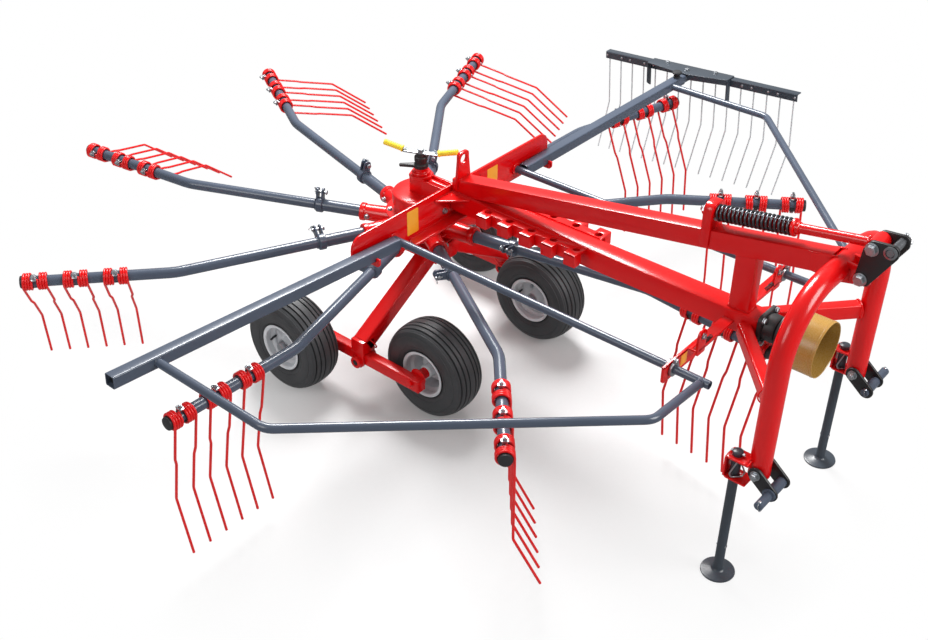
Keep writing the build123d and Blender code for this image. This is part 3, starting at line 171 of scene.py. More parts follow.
def circle(radius, sides=24, x=0.0, y=0.0):
    """Points of a circle in its own plane."""
    step = math.tau / sides
    return [(x + radius * math.cos(i * step), y + radius * math.sin(i * step)) for i in range(sides)]


def soften(points, radius, steps=4):
    """Closed outline with its corners rounded, by one radius or one for each corner."""
    out = []
    count = len(points)
    radii = radius if isinstance(radius, (list, tuple)) else [radius] * count
    for i in range(count):
        b = Vector(points[i])
        u = Vector(points[i - 1]) - b
        v = Vector(points[(i + 1) % count]) - b
        r = radii[i]
        if r <= 0:
            out.append(tuple(b))
            continue
        half = u.angle(v) / 2
        cut = min(r / math.tan(half), u.length * 0.49, v.length * 0.49)
        r = cut * math.tan(half)
        middle = b + (u.normalized() + v.normalized()).normalized() * (r / math.sin(half))
        start = b + u.normalized() * cut - middle
        end = b + v.normalized() * cut - middle
        swing = start.angle_signed(end)
        for k in range(steps + 1):
            turn = Matrix.Rotation(-swing * k / steps, 2)
            out.append(tuple(middle + turn @ start))
    return out


def rectangle(width, height, radius):
    """Outline of a rectangle with rounded corners."""
    w = width / 2
    h = height / 2
    return soften([(-w, -h), (w, -h), (w, h), (-w, h)], radius)


def slot(start, end, radius, steps=10):
    """Outline round two points."""
    a = Vector(start)
    b = Vector(end)
    base = math.atan2((b - a).y, (b - a).x)
    out = []
    for middle, first in ((b, base - math.pi / 2), (a, base + math.pi / 2)):
        for k in range(steps + 1):
            t = first + math.pi * k / steps
            out.append((middle.x + radius * math.cos(t), middle.y + radius * math.sin(t)))
    return out


def rounded(points, radius):
    """Points of an open line with its corners rounded."""
    points = [Vector(p) for p in points]
    out = [points[0]]
    for a, b, c in zip(points, points[1:], points[2:]):
        u = (a - b).normalized()
        v = (c - b).normalized()
        half = u.angle(v) / 2
        if math.pi - 2 * half < 0.01:
            continue
        cut = min(radius / math.tan(half), (a - b).length * 0.49, (c - b).length * 0.49)
        r = cut * math.tan(half)
        middle = b + (u + v).normalized() * (r / math.sin(half))
        start = b + u * cut - middle
        turn_axis = start.cross(b + v * cut - middle)
        steps = max(2, math.ceil(math.degrees(math.pi - 2 * half) / 9))
        for k in range(steps + 1):
            turn = Matrix.Rotation((math.pi - 2 * half) * k / steps, 3, turn_axis)
            out.append(middle + turn @ start)
    out.append(points[-1])
    return out


def skin(mesh, loops, closed=False):
    """Faces over a row of loops, with its ends filled or its last loop joined to the first."""
    rows = [[mesh.verts.new(p) for p in loop] for loop in loops]
    count = len(rows[0])
    pairs = list(zip(rows, rows[1:]))
    if closed:
        pairs.append((rows[-1], rows[0]))
    for a, b in pairs:
        for i in range(count):
            j = (i + 1) % count
            mesh.faces.new((a[i], a[j], b[j], b[i]))
    if not closed:
        mesh.faces.new(rows[0])
        mesh.faces.new(rows[-1])


def sweep(mesh, points, section, bend=0.0, chamfer=0.0, hint=Z, scale=None, bore=None):
    """Section carried along a line. Chamfer eases its ends, bore is the section of a hole right through."""
    path = rounded(points, bend) if bend else [Vector(p) for p in points]
    tangents = []
    for i in range(len(path)):
        before = path[max(i - 1, 0)]
        after = path[min(i + 1, len(path) - 1)]
        tangents.append((after - before).normalized())
    first, second = across(tangents[0], hint)
    frames = [(first, second)]
    for a, b in zip(tangents, tangents[1:]):
        turn = a.rotation_difference(b)
        first = turn @ first
        frames.append((first, b.cross(first)))
        first = frames[-1][0]

    def loop(i, outline, shrink=0.0, shift=0.0):
        u, v = frames[i]
        size = scale(i / (len(path) - 1)) if scale else 1.0
        out = []
        for x, y in outline:
            reach = math.hypot(x, y)
            k = size * (reach - shrink) / reach
            out.append(path[i] + u * (x * k) + v * (y * k) + tangents[i] * shift)
        return out

    def row(outline, inset):
        last = len(path) - 1
        loops = [loop(i, outline) for i in range(len(path))]
        if chamfer:
            loops[0] = loop(0, outline, 0.0, chamfer)
            loops[-1] = loop(last, outline, 0.0, -chamfer)
            loops.insert(0, loop(0, outline, inset))
            loops.append(loop(last, outline, inset))
        return loops

    if bore:
        skin(mesh, row(section, chamfer) + row(bore, -chamfer)[::-1], closed=True)
    else:
        skin(mesh, row(section, chamfer))


def rod(mesh, start, end, radius, sides=24, chamfer=1.0, bore=0.0):
    """Straight round bar, or a tube where it has a bore."""
    inner = circle(bore, sides) if bore else None
    sweep(mesh, [start, end], circle(radius, sides), chamfer=chamfer, bore=inner)


def pipe(mesh, points, radius, bend, sides=24, chamfer=0.8):
    """Bent round bar."""
    sweep(mesh, points, circle(radius, sides), bend=bend, chamfer=chamfer)


def bar(mesh, start, end, width, height, radius=2.0, hint=Z, chamfer=0.6, bore=0.0):
    """Straight rectangular bar or box tube with rounded edges."""
    inner = rectangle(width - 2 * bore, height - 2 * bore, max(radius - bore, 0.6)) if bore else None
    sweep(mesh, [start, end], rectangle(width, height, radius), chamfer=chamfer, hint=hint, bore=inner)


def turned(mesh, origin, axis, profile, sides=48, closed=False):
    """Round shape from (radius, place along the axis) points."""
    u, v = across(Vector(axis))
    along = Vector(axis).normalized()
    loops = []
    for radius, place in profile:
        ring = circle(max(radius, 0.05), sides)
        loops.append([Vector(origin) + along * place + u * x + v * y for x, y in ring])
    skin(mesh, loops, closed=closed)


def box(mesh, low, high, bevel):
    """Box between two corners with eased edges."""
    low = Vector(low)
    high = Vector(high)
    made = bmesh.ops.create_cube(mesh, size=1.0)
    verts = made["verts"]
    bmesh.ops.scale(mesh, vec=high - low, verts=verts)
    bmesh.ops.transform(mesh, matrix=Matrix.Translation((low + high) / 2), verts=verts)
    edges = list({edge for vert in verts for edge in vert.link_edges})
    bmesh.ops.bevel(mesh, geom=edges, offset=bevel, segments=2, affect="EDGES", profile=0.6)


def plate(mesh, origin, x_dir, y_dir, outline, thick, holes=(), bevel=0.7):
    """Flat plate with eased edges: its outline and holes in its own plane, its thickness both ways."""
    bevel = min(bevel, thick * 0.45)
    curve = bpy.data.curves.new("outline", "CURVE")
    curve.dimensions = "2D"
    curve.fill_mode = "BOTH"
    curve.extrude = thick / 2 - bevel
    curve.bevel_depth = bevel
    curve.bevel_resolution = 1
    curve.offset = -bevel
    for loop in (outline, *holes):
        spline = curve.splines.new("POLY")
        spline.points.add(len(loop) - 1)
        for point, (x, y) in zip(spline.points, loop):
            point.co = (x, y, 0.0, 1.0)
        spline.use_cyclic_u = True
    holder = bpy.data.objects.new("outline", curve)
    flat = bpy.data.meshes.new_from_object(holder)
    x_dir = Vector(x_dir).normalized()
    y_dir = Vector(y_dir).normalized()
    place = Matrix((x_dir, y_dir, x_dir.cross(y_dir))).transposed().to_4x4()
    flat.transform(Matrix.Translation(Vector(origin)) @ place)
    before = set(mesh.verts)
    mesh.from_mesh(flat)
    bmesh.ops.remove_doubles(mesh, verts=[v for v in mesh.verts if v not in before], dist=0.002)
    bpy.data.objects.remove(holder)
    bpy.data.curves.remove(curve)
    bpy.data.meshes.remove(flat)


def washer(mesh, point, axis, radius, thick=2.0, bore=0.0):
    """Flat washer with eased edges, its foot on the point."""
    low = radius * 0.45 if bore <= 0 else bore
    turned(mesh, point, axis, [
        (low, 0), (radius - 0.4, 0), (radius, 0.4),
        (radius, thick - 0.4), (radius - 0.4, thick), (low, thick),
    ], sides=28, closed=True)


def bolt(mesh, point, axis, size, seat=True, stub=0.0):
    """Hexagon head or nut of a thread size on its washer, with the thread's end where it has a stub."""
    axis = Vector(axis).normalized()
    base = Vector(point)
    if seat:
        washer(mesh, base, axis, size * 1.05, size * 0.16)
        base = base + axis * size * 0.16
    half = size * 0.86
    tall = size * (0.82 if stub else 0.66)
    u, v = across(axis)
    loops = []
    for reach, place in ((half * 0.97, 0), (half, size * 0.04), (half, tall * 0.86), (half * 0.84, tall)):
        loops.append([base + axis * place + u * x + v * y for x, y in circle(reach, 6)])
    skin(mesh, loops)
    if stub:
        profile = []
        place = 0.0
        while place < tall + stub:
            profile += [(size * 0.5, place), (size * 0.44, place + size * 0.08)]
            place += size * 0.16
        turned(mesh, base, axis, profile, sides=18)
    else:
        turned(mesh, base + axis * (tall - 0.5), axis, [(half * 0.62, 0), (half * 0.6, 0.9)], sides=18)


def weld(mesh, points, radius, closed=False):
    """Bead of a weld along a line, with the ripples that its making leaves."""
    path = [Vector(p) for p in points]
    if closed:
        path.append(path[0])
    fine = []
    for a, b in zip(path, path[1:]):
        count = max(1, int((b - a).length / (radius * 0.55)))
        fine += [a.lerp(b, k / count) for k in range(count)]
    fine.append(path[-1])
    last = len(fine) - 1
    sweep(mesh, fine, circle(radius, 8), scale=lambda t: 0.9 + 0.13 * math.cos(t * last * math.pi))


def ring_weld(mesh, middle, axis, reach, radius=2.6):
    """Bead of a weld round a bar."""
    u, v = across(Vector(axis))
    weld(mesh, [Vector(middle) + u * x + v * y for x, y in circle(reach, 36)], radius, closed=True)


def lynch_pin(mesh, point, axis, hang, size=1.0):
    """Wire ring pin through a hole: a short stem along the axis and a flat ring that hangs from it."""
    axis = Vector(axis).normalized()
    hang = Vector(hang).normalized()
    point = Vector(point)
    rod(mesh, point - axis * 20 * size, point + axis * 12 * size, 3.2 * size, sides=14)
    turned(mesh, point + axis * 12 * size, axis, [(3, 0), (5.2, 1), (5.2, 6), (3, 8)], sides=16)
    side = axis.cross(hang).normalized()
    head = point + axis * 15 * size
    ring = [
        head, head + hang * 6 * size + side * 17 * size, head + hang * 30 * size + side * 13 * size,
        head + hang * 36 * size, head + hang * 30 * size - side * 13 * size,
        head + hang * 6 * size - side * 17 * size, head + hang * 0.5 + axis * 0.5,
    ]
    pipe(mesh, ring, 1.6 * size, 9 * size, sides=8, chamfer=0)


def build(name, body, material, draw, replaces=()):
    """Makes one piece: draws it, places it in metres, gives it its material and lets it ride on its body."""
    mesh = bmesh.new()
    draw(mesh)
    bmesh.ops.recalc_face_normals(mesh, faces=mesh.faces)
    for vert in mesh.verts:
        vert.co = vert.co / 1000 + ORIGIN
    data = bpy.data.meshes.new(name)
    mesh.to_mesh(data)
    mesh.free()
    data.polygons.foreach_set("use_smooth", [True] * len(data.polygons))
    data.set_sharp_from_angle(angle=SHARP_EDGE)
    data.materials.append(material)
    made = bpy.data.objects.new(name, data)
    bpy.context.scene.collection.objects.link(made)
    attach(made, body)
    if replaces:
        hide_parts(*replaces)


# Materials


def linear(code):
    """Scene-linear colour of an sRGB hex code."""
    out = []
    for i in (0, 2, 4):
        part = int(code[i:i + 2], 16) / 255
        out.append(part / 12.92 if part <= 0.04045 else ((part + 0.055) / 1.055) ** 2.4)
    return (*out, 1.0)


def paint(colour):
    """Linear colour with its alpha, from an sRGB hex code or from a colour setting."""
    return linear(colour) if isinstance(colour, str) else (*colour, 1.0)


def node(tree, kind, links=None, **settings):
    """Adds a shader node with its settings and its incoming links."""
    made = tree.nodes.new("ShaderNode" + kind)
    for key, value in settings.items():
        name = key.replace("_", " ")
        if name in made.inputs:
            made.inputs[name].default_value = value
        elif key.startswith("in_"):
            made.inputs[int(key[3:])].default_value = value
        else:
            setattr(made, key, value)
    for socket, source in (links or {}).items():
        tree.links.new(source, made.inputs[socket])
    return made


def fresh(name):
    """New material with its output and main shader."""
    made = bpy.data.materials.new(name)
    made.use_nodes = True
    tree = made.node_tree
    tree.nodes.clear()
    shader = tree.nodes.new("ShaderNodeBsdfPrincipled")
    out = tree.nodes.new("ShaderNodeOutputMaterial")
    tree.links.new(shader.outputs[0], out.inputs[0])
    return made, tree, shader


def powder_coat(name, base, light, rough, peel=0.10, dust=0.03):
    """Baked powder coat: even colour, a fine orange peel about 2 mm across, dust on what faces up."""
    made, tree, shader = fresh(name)
    place = node(tree, "TexCoord").outputs["Object"]
    cloud = node(tree, "TexNoise", {"Vector": place}, Scale=7.0, Detail=1.0)
    grain = node(tree, "TexNoise", {"Vector": place}, Scale=480.0, Detail=2.0)
    tone = node(tree, "Mix", {0: cloud.outputs["Fac"]}, data_type="RGBA")
    tone.inputs[6].default_value = paint(base)
    tone.inputs[7].default_value = paint(light)
    normal = node(tree, "NewGeometry").outputs["Normal"]
    up = node(tree, "SeparateXYZ", {0: normal}).outputs["Z"]
    lies = node(tree, "MapRange", {0: up}, in_1=0.55, in_2=1.0, in_3=0.0, in_4=dust)
    specks = node(tree, "TexNoise", {"Vector": place}, Scale=90.0, Detail=5.0)
    amount = node(tree, "Math", {0: lies.outputs[0], 1: specks.outputs["Fac"]}, operation="MULTIPLY")
    dusty = node(tree, "Mix", {0: amount.outputs[0], 6: tone.outputs[2]}, data_type="RGBA")
    dusty.inputs[7].default_value = linear("b9b4aa")
    tree.links.new(dusty.outputs[2], shader.inputs["Base Color"])
    gloss = node(
        tree, "MapRange", {0: cloud.outputs["Fac"]}, in_1=0.0, in_2=1.0, in_3=rough - 0.04, in_4=rough + 0.05)
    tree.links.new(gloss.outputs[0], shader.inputs["Roughness"])
    bump = node(tree, "Bump", {"Height": grain.outputs["Fac"]}, Strength=peel, Distance=0.0002)
    tree.links.new(bump.outputs[0], shader.inputs["Normal"])
    shader.inputs["IOR"].default_value = 1.52
    return made


def plated(name, base, dark, rough, spangle, streak=0.0):
    """Metal surface: crystals or rolling marks, so many to the metre, shift its tone and gloss."""
    made, tree, shader = fresh(name)
    place = node(tree, "TexCoord").outputs["Object"]
    crystals = node(tree, "TexVoronoi", {"Vector": place}, Scale=spangle, feature="F1")
    cloud = node(tree, "TexNoise", {"Vector": place}, Scale=36.0, Detail=5.0, Roughness=0.62)
    shade = node(tree, "SeparateColor", {0: crystals.outputs["Color"]}).outputs[0]
    blend = node(tree, "Math", {0: shade, 1: cloud.outputs["Fac"]}, operation="MULTIPLY")
    tone = node(tree, "Mix", {0: blend.outputs[0]}, data_type="RGBA")
    tone.inputs[6].default_value = paint(base)
    tone.inputs[7].default_value = linear(dark)
    tree.links.new(tone.outputs[2], shader.inputs["Base Color"])
    gloss = node(
        tree, "MapRange", {0: cloud.outputs["Fac"]},
        in_1=0.25, in_2=0.75, in_3=rough - 0.07, in_4=rough + 0.09)
    tree.links.new(gloss.outputs[0], shader.inputs["Roughness"])
    fine = node(tree, "TexNoise", {"Vector": place}, Scale=900.0, Detail=2.0)
    bump = node(tree, "Bump", {"Height": fine.outputs["Fac"]}, Strength=0.12 + streak, Distance=0.0001)
    tree.links.new(bump.outputs[0], shader.inputs["Normal"])
    shader.inputs["Metallic"].default_value = 1.0
    return made


def moulded(name, base, light, rough, grain, depth, ior=1.49):
    """Moulded plastic or rubber: one colour right through, with a matt grain of so many pits to the metre."""
    made, tree, shader = fresh(name)
    place = node(tree, "TexCoord").outputs["Object"]
    cloud = node(tree, "TexNoise", {"Vector": place}, Scale=14.0, Detail=6.0, Roughness=0.6)
    fine = node(tree, "TexNoise", {"Vector": place}, Scale=grain, Detail=3.0)
    tone = node(tree, "Mix", {0: cloud.outputs["Fac"]}, data_type="RGBA")
    tone.inputs[6].default_value = paint(base)
    tone.inputs[7].default_value = paint(light)
    tree.links.new(tone.outputs[2], shader.inputs["Base Color"])
    gloss = node(
        tree, "MapRange", {0: fine.outputs["Fac"]}, in_1=0.3, in_2=0.7, in_3=rough - 0.06, in_4=rough + 0.08)
    tree.links.new(gloss.outputs[0], shader.inputs["Roughness"])
    bump = node(tree, "Bump", {"Height": fine.outputs["Fac"]}, Strength=0.22, Distance=depth)
    tree.links.new(bump.outputs[0], shader.inputs["Normal"])
    shader.inputs["IOR"].default_value = ior
    return made


LOOKS = {}


def make_looks(settings):
    """Fills the table of materials, once."""
    if LOOKS:
        return
    # Gloss red of a new machine: thick, even, with soft broad highlights
    LOOKS["red"] = powder_coat("steel_red_gloss_powder_coat", settings.red, settings.red_light, 0.20)
    # Spring wire dipped and baked: the same red, a touch lighter and less even
    LOOKS["tine"] = powder_coat("spring_wire_red_powder_coat", "d60307", "e2080c", 0.30, peel=0.16, dust=0.0)
    # Slate satin coat: cool grey tubes with a clear streak of light along them
    LOOKS["slate"] = powder_coat("steel_slate_satin_powder_coat", settings.slate, settings.slate_light, 0.21)
    # Anthracite satin coat: nearly black next to the slate
    LOOKS["anthracite"] = powder_coat("steel_anthracite_satin_powder_coat", "2f363f", "3a424b", 0.30)
    # Black paint on laser-cut plates: satin, grey only in its highlights
    LOOKS["black"] = powder_coat("steel_black_satin_paint", "1a1a1c", "242427", 0.38, dust=0.04)
    # Painted castings: a pebbled skin left by the sand
    LOOKS["cast"] = powder_coat("cast_iron_black_paint", "1b1b1d", "2a2a2c", 0.46, peel=0.55, dust=0.05)
    # Zinc plate: pale, slightly blue, with faint crystals and soft blurred reflections
    LOOKS["zinc"] = plated("steel_zinc_plated", "c3c7cb", "9aa0a7", 0.34, 420.0)
    # Hot-dip zinc on the crank bar: duller, with crystals a few millimetres wide
    LOOKS["galvanised"] = plated("steel_hot_dip_galvanised", "aeb3b7", "858b91", 0.50, 190.0)
    # Zinc flake lacquer on the curtain's spring wire: pale silver grey and dull, light even as a thin line
    LOOKS["wire"] = powder_coat("spring_wire_zinc_flake_coat", "b4b8bb", "c2c6c9", 0.45, peel=0.12, dust=0.0)
    # Oiled black oxide on the damper's coil: dark steel that still catches thin glints
    LOOKS["coil"] = plated("spring_steel_oiled_black_oxide", "66686d", "4c4e53", 0.30, 500.0, streak=0.04)
    # Turned steel of pins and the splined stub: darker and sharper
    LOOKS["bright"] = plated("steel_turned_bright", "a3a6ab", "85898f", 0.26, 700.0, streak=0.05)
    # Yellow grips: opaque, waxy, softly ribbed
    LOOKS["yellow"] = moulded(
        "plastic_yellow_moulded_grip", settings.grip, settings.grip_light, 0.42, 420.0, 0.00015)
    # Ochre guard over the stub: a slightly dull moulded shell
    LOOKS["ochre"] = moulded("plastic_ochre_moulded_guard", "a5803c", "b38e4c", 0.27, 300.0, 0.0001)
    # Black moulded caps and knobs, and the black that paints shade in the guard's access hole and in the open
    # end of a guard's tube
    LOOKS["cap"] = moulded("plastic_black_moulded_cap_and_painted_shade", "202123", "2d2e31", 0.45, 380.0, 0.0002)
    # Silver rim paint: light grey, with a metallic shimmer from fine flake
    LOOKS["rim"] = powder_coat("steel_silver_rim_paint", "c3c6ca", "d3d6d9", 0.34, dust=0.02)
    # Tyre rubber: near black, matt, a little greyer in soft random clouds
    LOOKS["rubber"] = moulded("rubber_moulded_tyre", "2b2c2e", "46484b", 0.50, 520.0, 0.0003, ior=1.52)
    # Blank label plates: smooth yellow-orange film on the steel
    LOOKS["label"] = moulded("film_orange_label_blank", "efa01d", "f4ac30", 0.36, 200.0, 0.00005)


# Wheels


def crown_at(place):
    """Radius of the tyre's crown at a place along the axle."""
    return WHEEL_R - 12.3 * (abs(place) / 60.2) ** 2.6


def tyre_profile():
    """Half section of the tyre with its three grooves: radius and place along the axle."""
    crown = [
        (92.0, 59.5), (97.0, 62.5), (99.0, 65.5), (101.5, 66.0), (104.0, 67.5), (118.0, 71.6),
        (132.0, 72.5), (146.0, 71.4), (158.0, 68.5), (165.5, 65.0), (167.5, 64.0),
        (168.5, 61.0), (170.2, 60.2),
    ]
    tread = []
    for edge, groove in ((60.2, 51.0), (44.0, 33.0), (25.5, 14.5)):
        tread += [
            (crown_at(edge) - 0.4, edge), (crown_at(groove + 3.2), groove + 3.2),
            (crown_at(groove + 2.6) - 1.2, groove + 2.6),
            (crown_at(groove) - 6.4, groove + 1.8), (crown_at(groove) - 6.6, groove - 1.8),
            (crown_at(groove - 2.6) - 1.2, groove - 2.6), (crown_at(groove - 3.2), groove - 3.2),
        ]
    tread.append((WHEEL_R, 2.0))
    return crown + tread


def draw_tyre(mesh, middle):
    half = tyre_profile()
    other = [(r, -w) for r, w in reversed(half)]
    inner = [(RIM_R + 0.4, -56.0), (RIM_R + 0.4, 56.0)]
    turned(mesh, middle, X, half + other + inner, sides=96, closed=True)
    # Two moulded rings on each sidewall
    for side in (-1, 1):
        for radius, place in ((112.0, 70.0), (150.0, 70.8)):
            turned(mesh, Vector(middle) + X * side * place, X * side, [
                (radius - 2.0, -1.6), (radius - 1.2, 0.7), (radius + 1.2, 0.7), (radius + 2.0, -1.6),
            ], sides=96, closed=True)


def draw_rim(mesh, middle, side):
    """Two rolled flanges, a dished web with its weld, and the hub."""
    outer = [(9, 66.0), (8.2, 64.6), (2.0, 62.6), (0, 60.0), (0, 40.0), (-9, 30.0)]
    inner = [(-12.4, 31.0), (-3.4, 41.0), (-3.4, 62.0), (-1.0, 65.6), (7.4, 67.4)]
    profile = outer + [(r, -w) for r, w in reversed(outer)] + [(r, -w) for r, w in reversed(inner)] + inner
    turned(mesh, middle, X, [(RIM_R + r, w) for r, w in profile], sides=72, closed=True)
    turned(mesh, middle, X * side, [
        (26.0, 5.0), (34.0, 4.0), (46.0, 0.5), (58.0, 3.0), (68.0, 15.0), (RIM_R - 10, 17.0),
        (RIM_R - 10, 20.5), (66.0, 18.5), (56.0, 6.5), (46.0, 4.2), (35.0, 7.8), (26.0, 9.0),
    ], sides=72, closed=True)
    ring_weld(mesh, Vector(middle) + X * side * 20.5, X, RIM_R - 13.0, 2.2)
    turned(mesh, middle, X * side, [
        (12.9, -48), (22, -48), (25.5, -45), (25.5, -2), (29, 3),
        (29, 11), (25.5, 14), (25.5, 44), (23, 48), (12.9, 48),
    ], sides=48, closed=True)


def draw_wheel_zinc(mesh, middle, side):
    """Nut, washer and cotter pin on the axle's end, and five bolts round the hub."""
    end = Vector(middle) + X * side * 48.4
    washer(mesh, end, X * side, 24.0, 3.0, bore=12.9)
    bolt(mesh, end + X * side * 3, X * side, 22.0, seat=False, stub=-6.0)
    rod(mesh, end + X * side * 9 - Z * 15, end + X * side * 9 + Z * 13, 1.8, sides=8)
    for k in range(5):
        spin = Matrix.Rotation(math.tau * k / 5 + 0.3, 3, "X")
        bolt(mesh, Vector(middle) + X * side * 6.4 + spin @ (Z * 41), X * side, 9.0)


def draw_valve(mesh, middle, side):
    axle = Vector(middle)
    pipe(mesh, [
        axle + X * side * 24 + Y * (RIM_R - 12.5), axle + X * side * 40 + Y * (RIM_R - 15),
        axle + X * side * 56 + Y * (RIM_R - 19),
    ], 4.2, 8.0, sides=14)


def make_wheels():
    wheels = {}
    for end, axle_y, wheel_x in (("rear", REAR_AXLE_Y, REAR_WHEEL_X), ("front", FRONT_AXLE_Y, FRONT_WHEEL_X)):
        for name, side in SIDES.items():
            out = side if end == "rear" else -side
            wheels[end + "_" + name] = (Vector((side * wheel_x, axle_y, WHEEL_R)), out)
    for name, (middle, out) in wheels.items():
        body = "wheel_" + name
        build("tyre_looks_" + name, body, LOOKS["rubber"], lambda m: draw_tyre(m, middle),
              ["tyre_" + name])
        build("rim_looks_" + name, body, LOOKS["rim"], lambda m: draw_rim(m, middle, out),
              ["rim_" + name])
        build("hub_bolts_" + name, body, LOOKS["zinc"], lambda m: draw_wheel_zinc(m, middle, out))
        build("valve_" + name, body, LOOKS["cap"], lambda m: draw_valve(m, middle, out))


# Bogie


def leg_line(side):
    return Vector((side * 58, BOGIE_Y, 436)), Vector((side * BOGIE_X, BOGIE_Y, 226))


def draw_legs(mesh):
    """Yoke under the rotor, two box legs, and the fork over each rocking beam."""
    front = BOGIE_Y - 46
    turned(mesh, (0, 0, 478), -Z, [
        (30.4, 0), (52, 0), (54, 2), (54, 20), (50, 26), (30.4, 26),
    ], sides=40, closed=True)
    for y in (front + 5, 41):
        plate(mesh, (0, y, 0), X, Z, soften([
            (-62, 480), (62, 480), (66, 446), (52, 402), (-52, 402), (-66, 446),
        ], [12, 12, 10, 14, 14, 10]), 10)
    box(mesh, (-56, front + 9, 402), (56, 37, 412), 2)
    box(mesh, (-60, front, 468), (60, 46, 479.5), 3)
    for side in (-1, 1):
        top, low = leg_line(side)
        down = (low - top).normalized()
        bar(mesh, top - down * 4, low, 60, 60, 7, hint=Y, chamfer=0)
        for face in (1, -1):
            away = Y * 31 * face
            weld(mesh, [top + down * 26 + away + Z * 20, top + down * 8 + away - Z * 20], 3.0)
        middle = Vector((side * BOGIE_X, BOGIE_Y, 0))
        box(mesh, middle + Vector((-30.6, -30, BEAM_TOP_Z + 0.3)), middle + Vector((30.6, 30, 250)), 4)
        for cheek in (-1, 1):
            plate(mesh, middle + Vector((cheek * 25.3, 0, BOGIE_Z)), Y, Z, slot((0, 0), (0, 40), 27), 10)
        ring_weld(mesh, middle + Z * 222 - X * side * 24, down, 40, 2.8)


def draw_pivots(mesh):
    """Pivot boss on each cheek of the forks."""
    for side in (-1, 1):
        middle = Vector((side * BOGIE_X, BOGIE_Y, BOGIE_Z))
        for cheek in (-1, 1):
            turned(mesh, middle + X * cheek * 30.3, X * cheek, [
                (9, -1), (23, -1), (23, 12), (21, 15), (13, 15), (11, 11), (9, 11),
            ], sides=36, closed=True)


def draw_bogie_bolts(mesh):
    """Pivot bolts deep in their bosses."""
    for side in (-1, 1):
        middle = Vector((side * BOGIE_X, BOGIE_Y, BOGIE_Z))
        for cheek in (-1, 1):
            rod(mesh, middle + X * cheek * 24, middle + X * cheek * 40, 8.8, sides=24)
            bolt(mesh, middle + X * cheek * 38, X * cheek, 12, seat=False)


def draw_bogie_beams(mesh):
    """Rocking beam of rounded box section with plated ends, and its stub axles."""
    for side in (-1, 1):
        x = side * BOGIE_X
        low = BEAM_TOP_Z - 46
        middle = (BEAM_TOP_Z + low) / 2
        bar(mesh, (x, FRONT_AXLE_Y - 30, middle), (x, REAR_AXLE_Y + 30, middle), 40, 46, 6, chamfer=0)
        for y in (FRONT_AXLE_Y - 32, REAR_AXLE_Y + 32):
            box(mesh, (x - 19, y - 2, low + 1), (x + 19, y + 2, BEAM_TOP_Z - 1), 1.6)
        rod(mesh, (x - 20.2, BOGIE_Y, BOGIE_Z), (x + 20.2, BOGIE_Y, BOGIE_Z), 26.5, sides=36, bore=12.3)
        for wheel_x, axle_y in ((REAR_WHEEL_X, REAR_AXLE_Y), (FRONT_WHEEL_X, FRONT_AXLE_Y)):
            out = side if wheel_x > BOGIE_X else -side
            root = Vector((x, axle_y, WHEEL_R))
            far = abs(wheel_x - BOGIE_X)
            turned(mesh, root, X * out, [
                (22, 16), (31, 19), (31, 25), (24, 30), (20, 34), (20, far - 48.4),
            ], sides=32)
            ring_weld(mesh, root + X * out * 20, X, 32, 2.4)
            rod(mesh, root, root + X * out * (far + 58), 12.6, sides=28)
            bolt(mesh, root - X * out * 20, -X * out, 15)


def make_bogie():
    build("bogie_leg_looks", "frame", LOOKS["red"], draw_legs, ["bogie_legs"])
    build("bogie_beam_looks", "frame", LOOKS["red"], draw_bogie_beams, ["bogie_beams"])
    build("bogie_pivot_bosses", "frame", LOOKS["red"], draw_pivots)
    build("bogie_bolts", "frame", LOOKS["black"], draw_bogie_bolts)


# Rotor


def arm_frame(index):
    """Along, ahead and up of an arm's inner stretch, its bend, then along and ahead of its outer stretch."""
    turn = math.radians(ARM_START + 40 * index)
    rise = math.radians(ARM_RISE)
    out = Vector((math.cos(turn), math.sin(turn), 0))
    along = out * math.cos(rise) + Z * math.sin(rise)
    lead = Z.cross(out)
    up = along.cross(lead)
    bend = Z * ARM_ROOT_Z + along * BEND_AT
    tilt = math.radians(BEND_ANGLE)
    far = along * math.cos(tilt) - lead * math.sin(tilt)
    side = lead * math.cos(tilt) + along * math.sin(tilt)
    return along, lead, up, bend, far, side


def trail_frame(index):
    """Leading and upward direction of an arm's tines."""
    along, lead, up, bend, far, side = arm_frame(index)
    trail = math.radians(TINE_TRAIL[index])
    return side * math.cos(trail) - up * math.sin(trail), up * math.cos(trail) + side * math.sin(trail)


def draw_hub(mesh):
    """Cast bell with nine flared sockets and two discs that stiffen them."""
    turned(mesh, (0, 0, 0), Z, [
        (30.1, 487), (64, 487), (70, 492), (78, 500), (99, 506), (102, 509), (102, 514), (96, 518), (96, 572),
        (102, 576), (102, 582), (98, 586), (88, 594), (60, 595.5), (30.1, 595.5),
    ], sides=72, closed=True)
    for place in (516.0, 572.0):
        turned(mesh, (0, 0, place), Z, [
            (70, -3), (131, -3), (133, -2), (133, 2), (131, 3), (70, 3),
        ], sides=90, closed=True)
    for index in range(ARM_COUNT):
        along, lead, up, bend, far, side = arm_frame(index)
        root = Z * ARM_ROOT_Z
        turned(mesh, root, along, [
            (34, 84), (36.5, 92), (35.5, 120), (33, 150), (31.5, 190), (31.3, 216), (34.0, 220),
            (34.3, SOCKET_OUT - 2), (33.4, SOCKET_OUT), (23.4, SOCKET_OUT),
            (22.9, SOCKET_OUT - 4), (22.9, 176.4),
        ], sides=40)
        ring_weld(mesh, root + along * (SOCKET_OUT + 0.5), along, 24.6, 2.3)


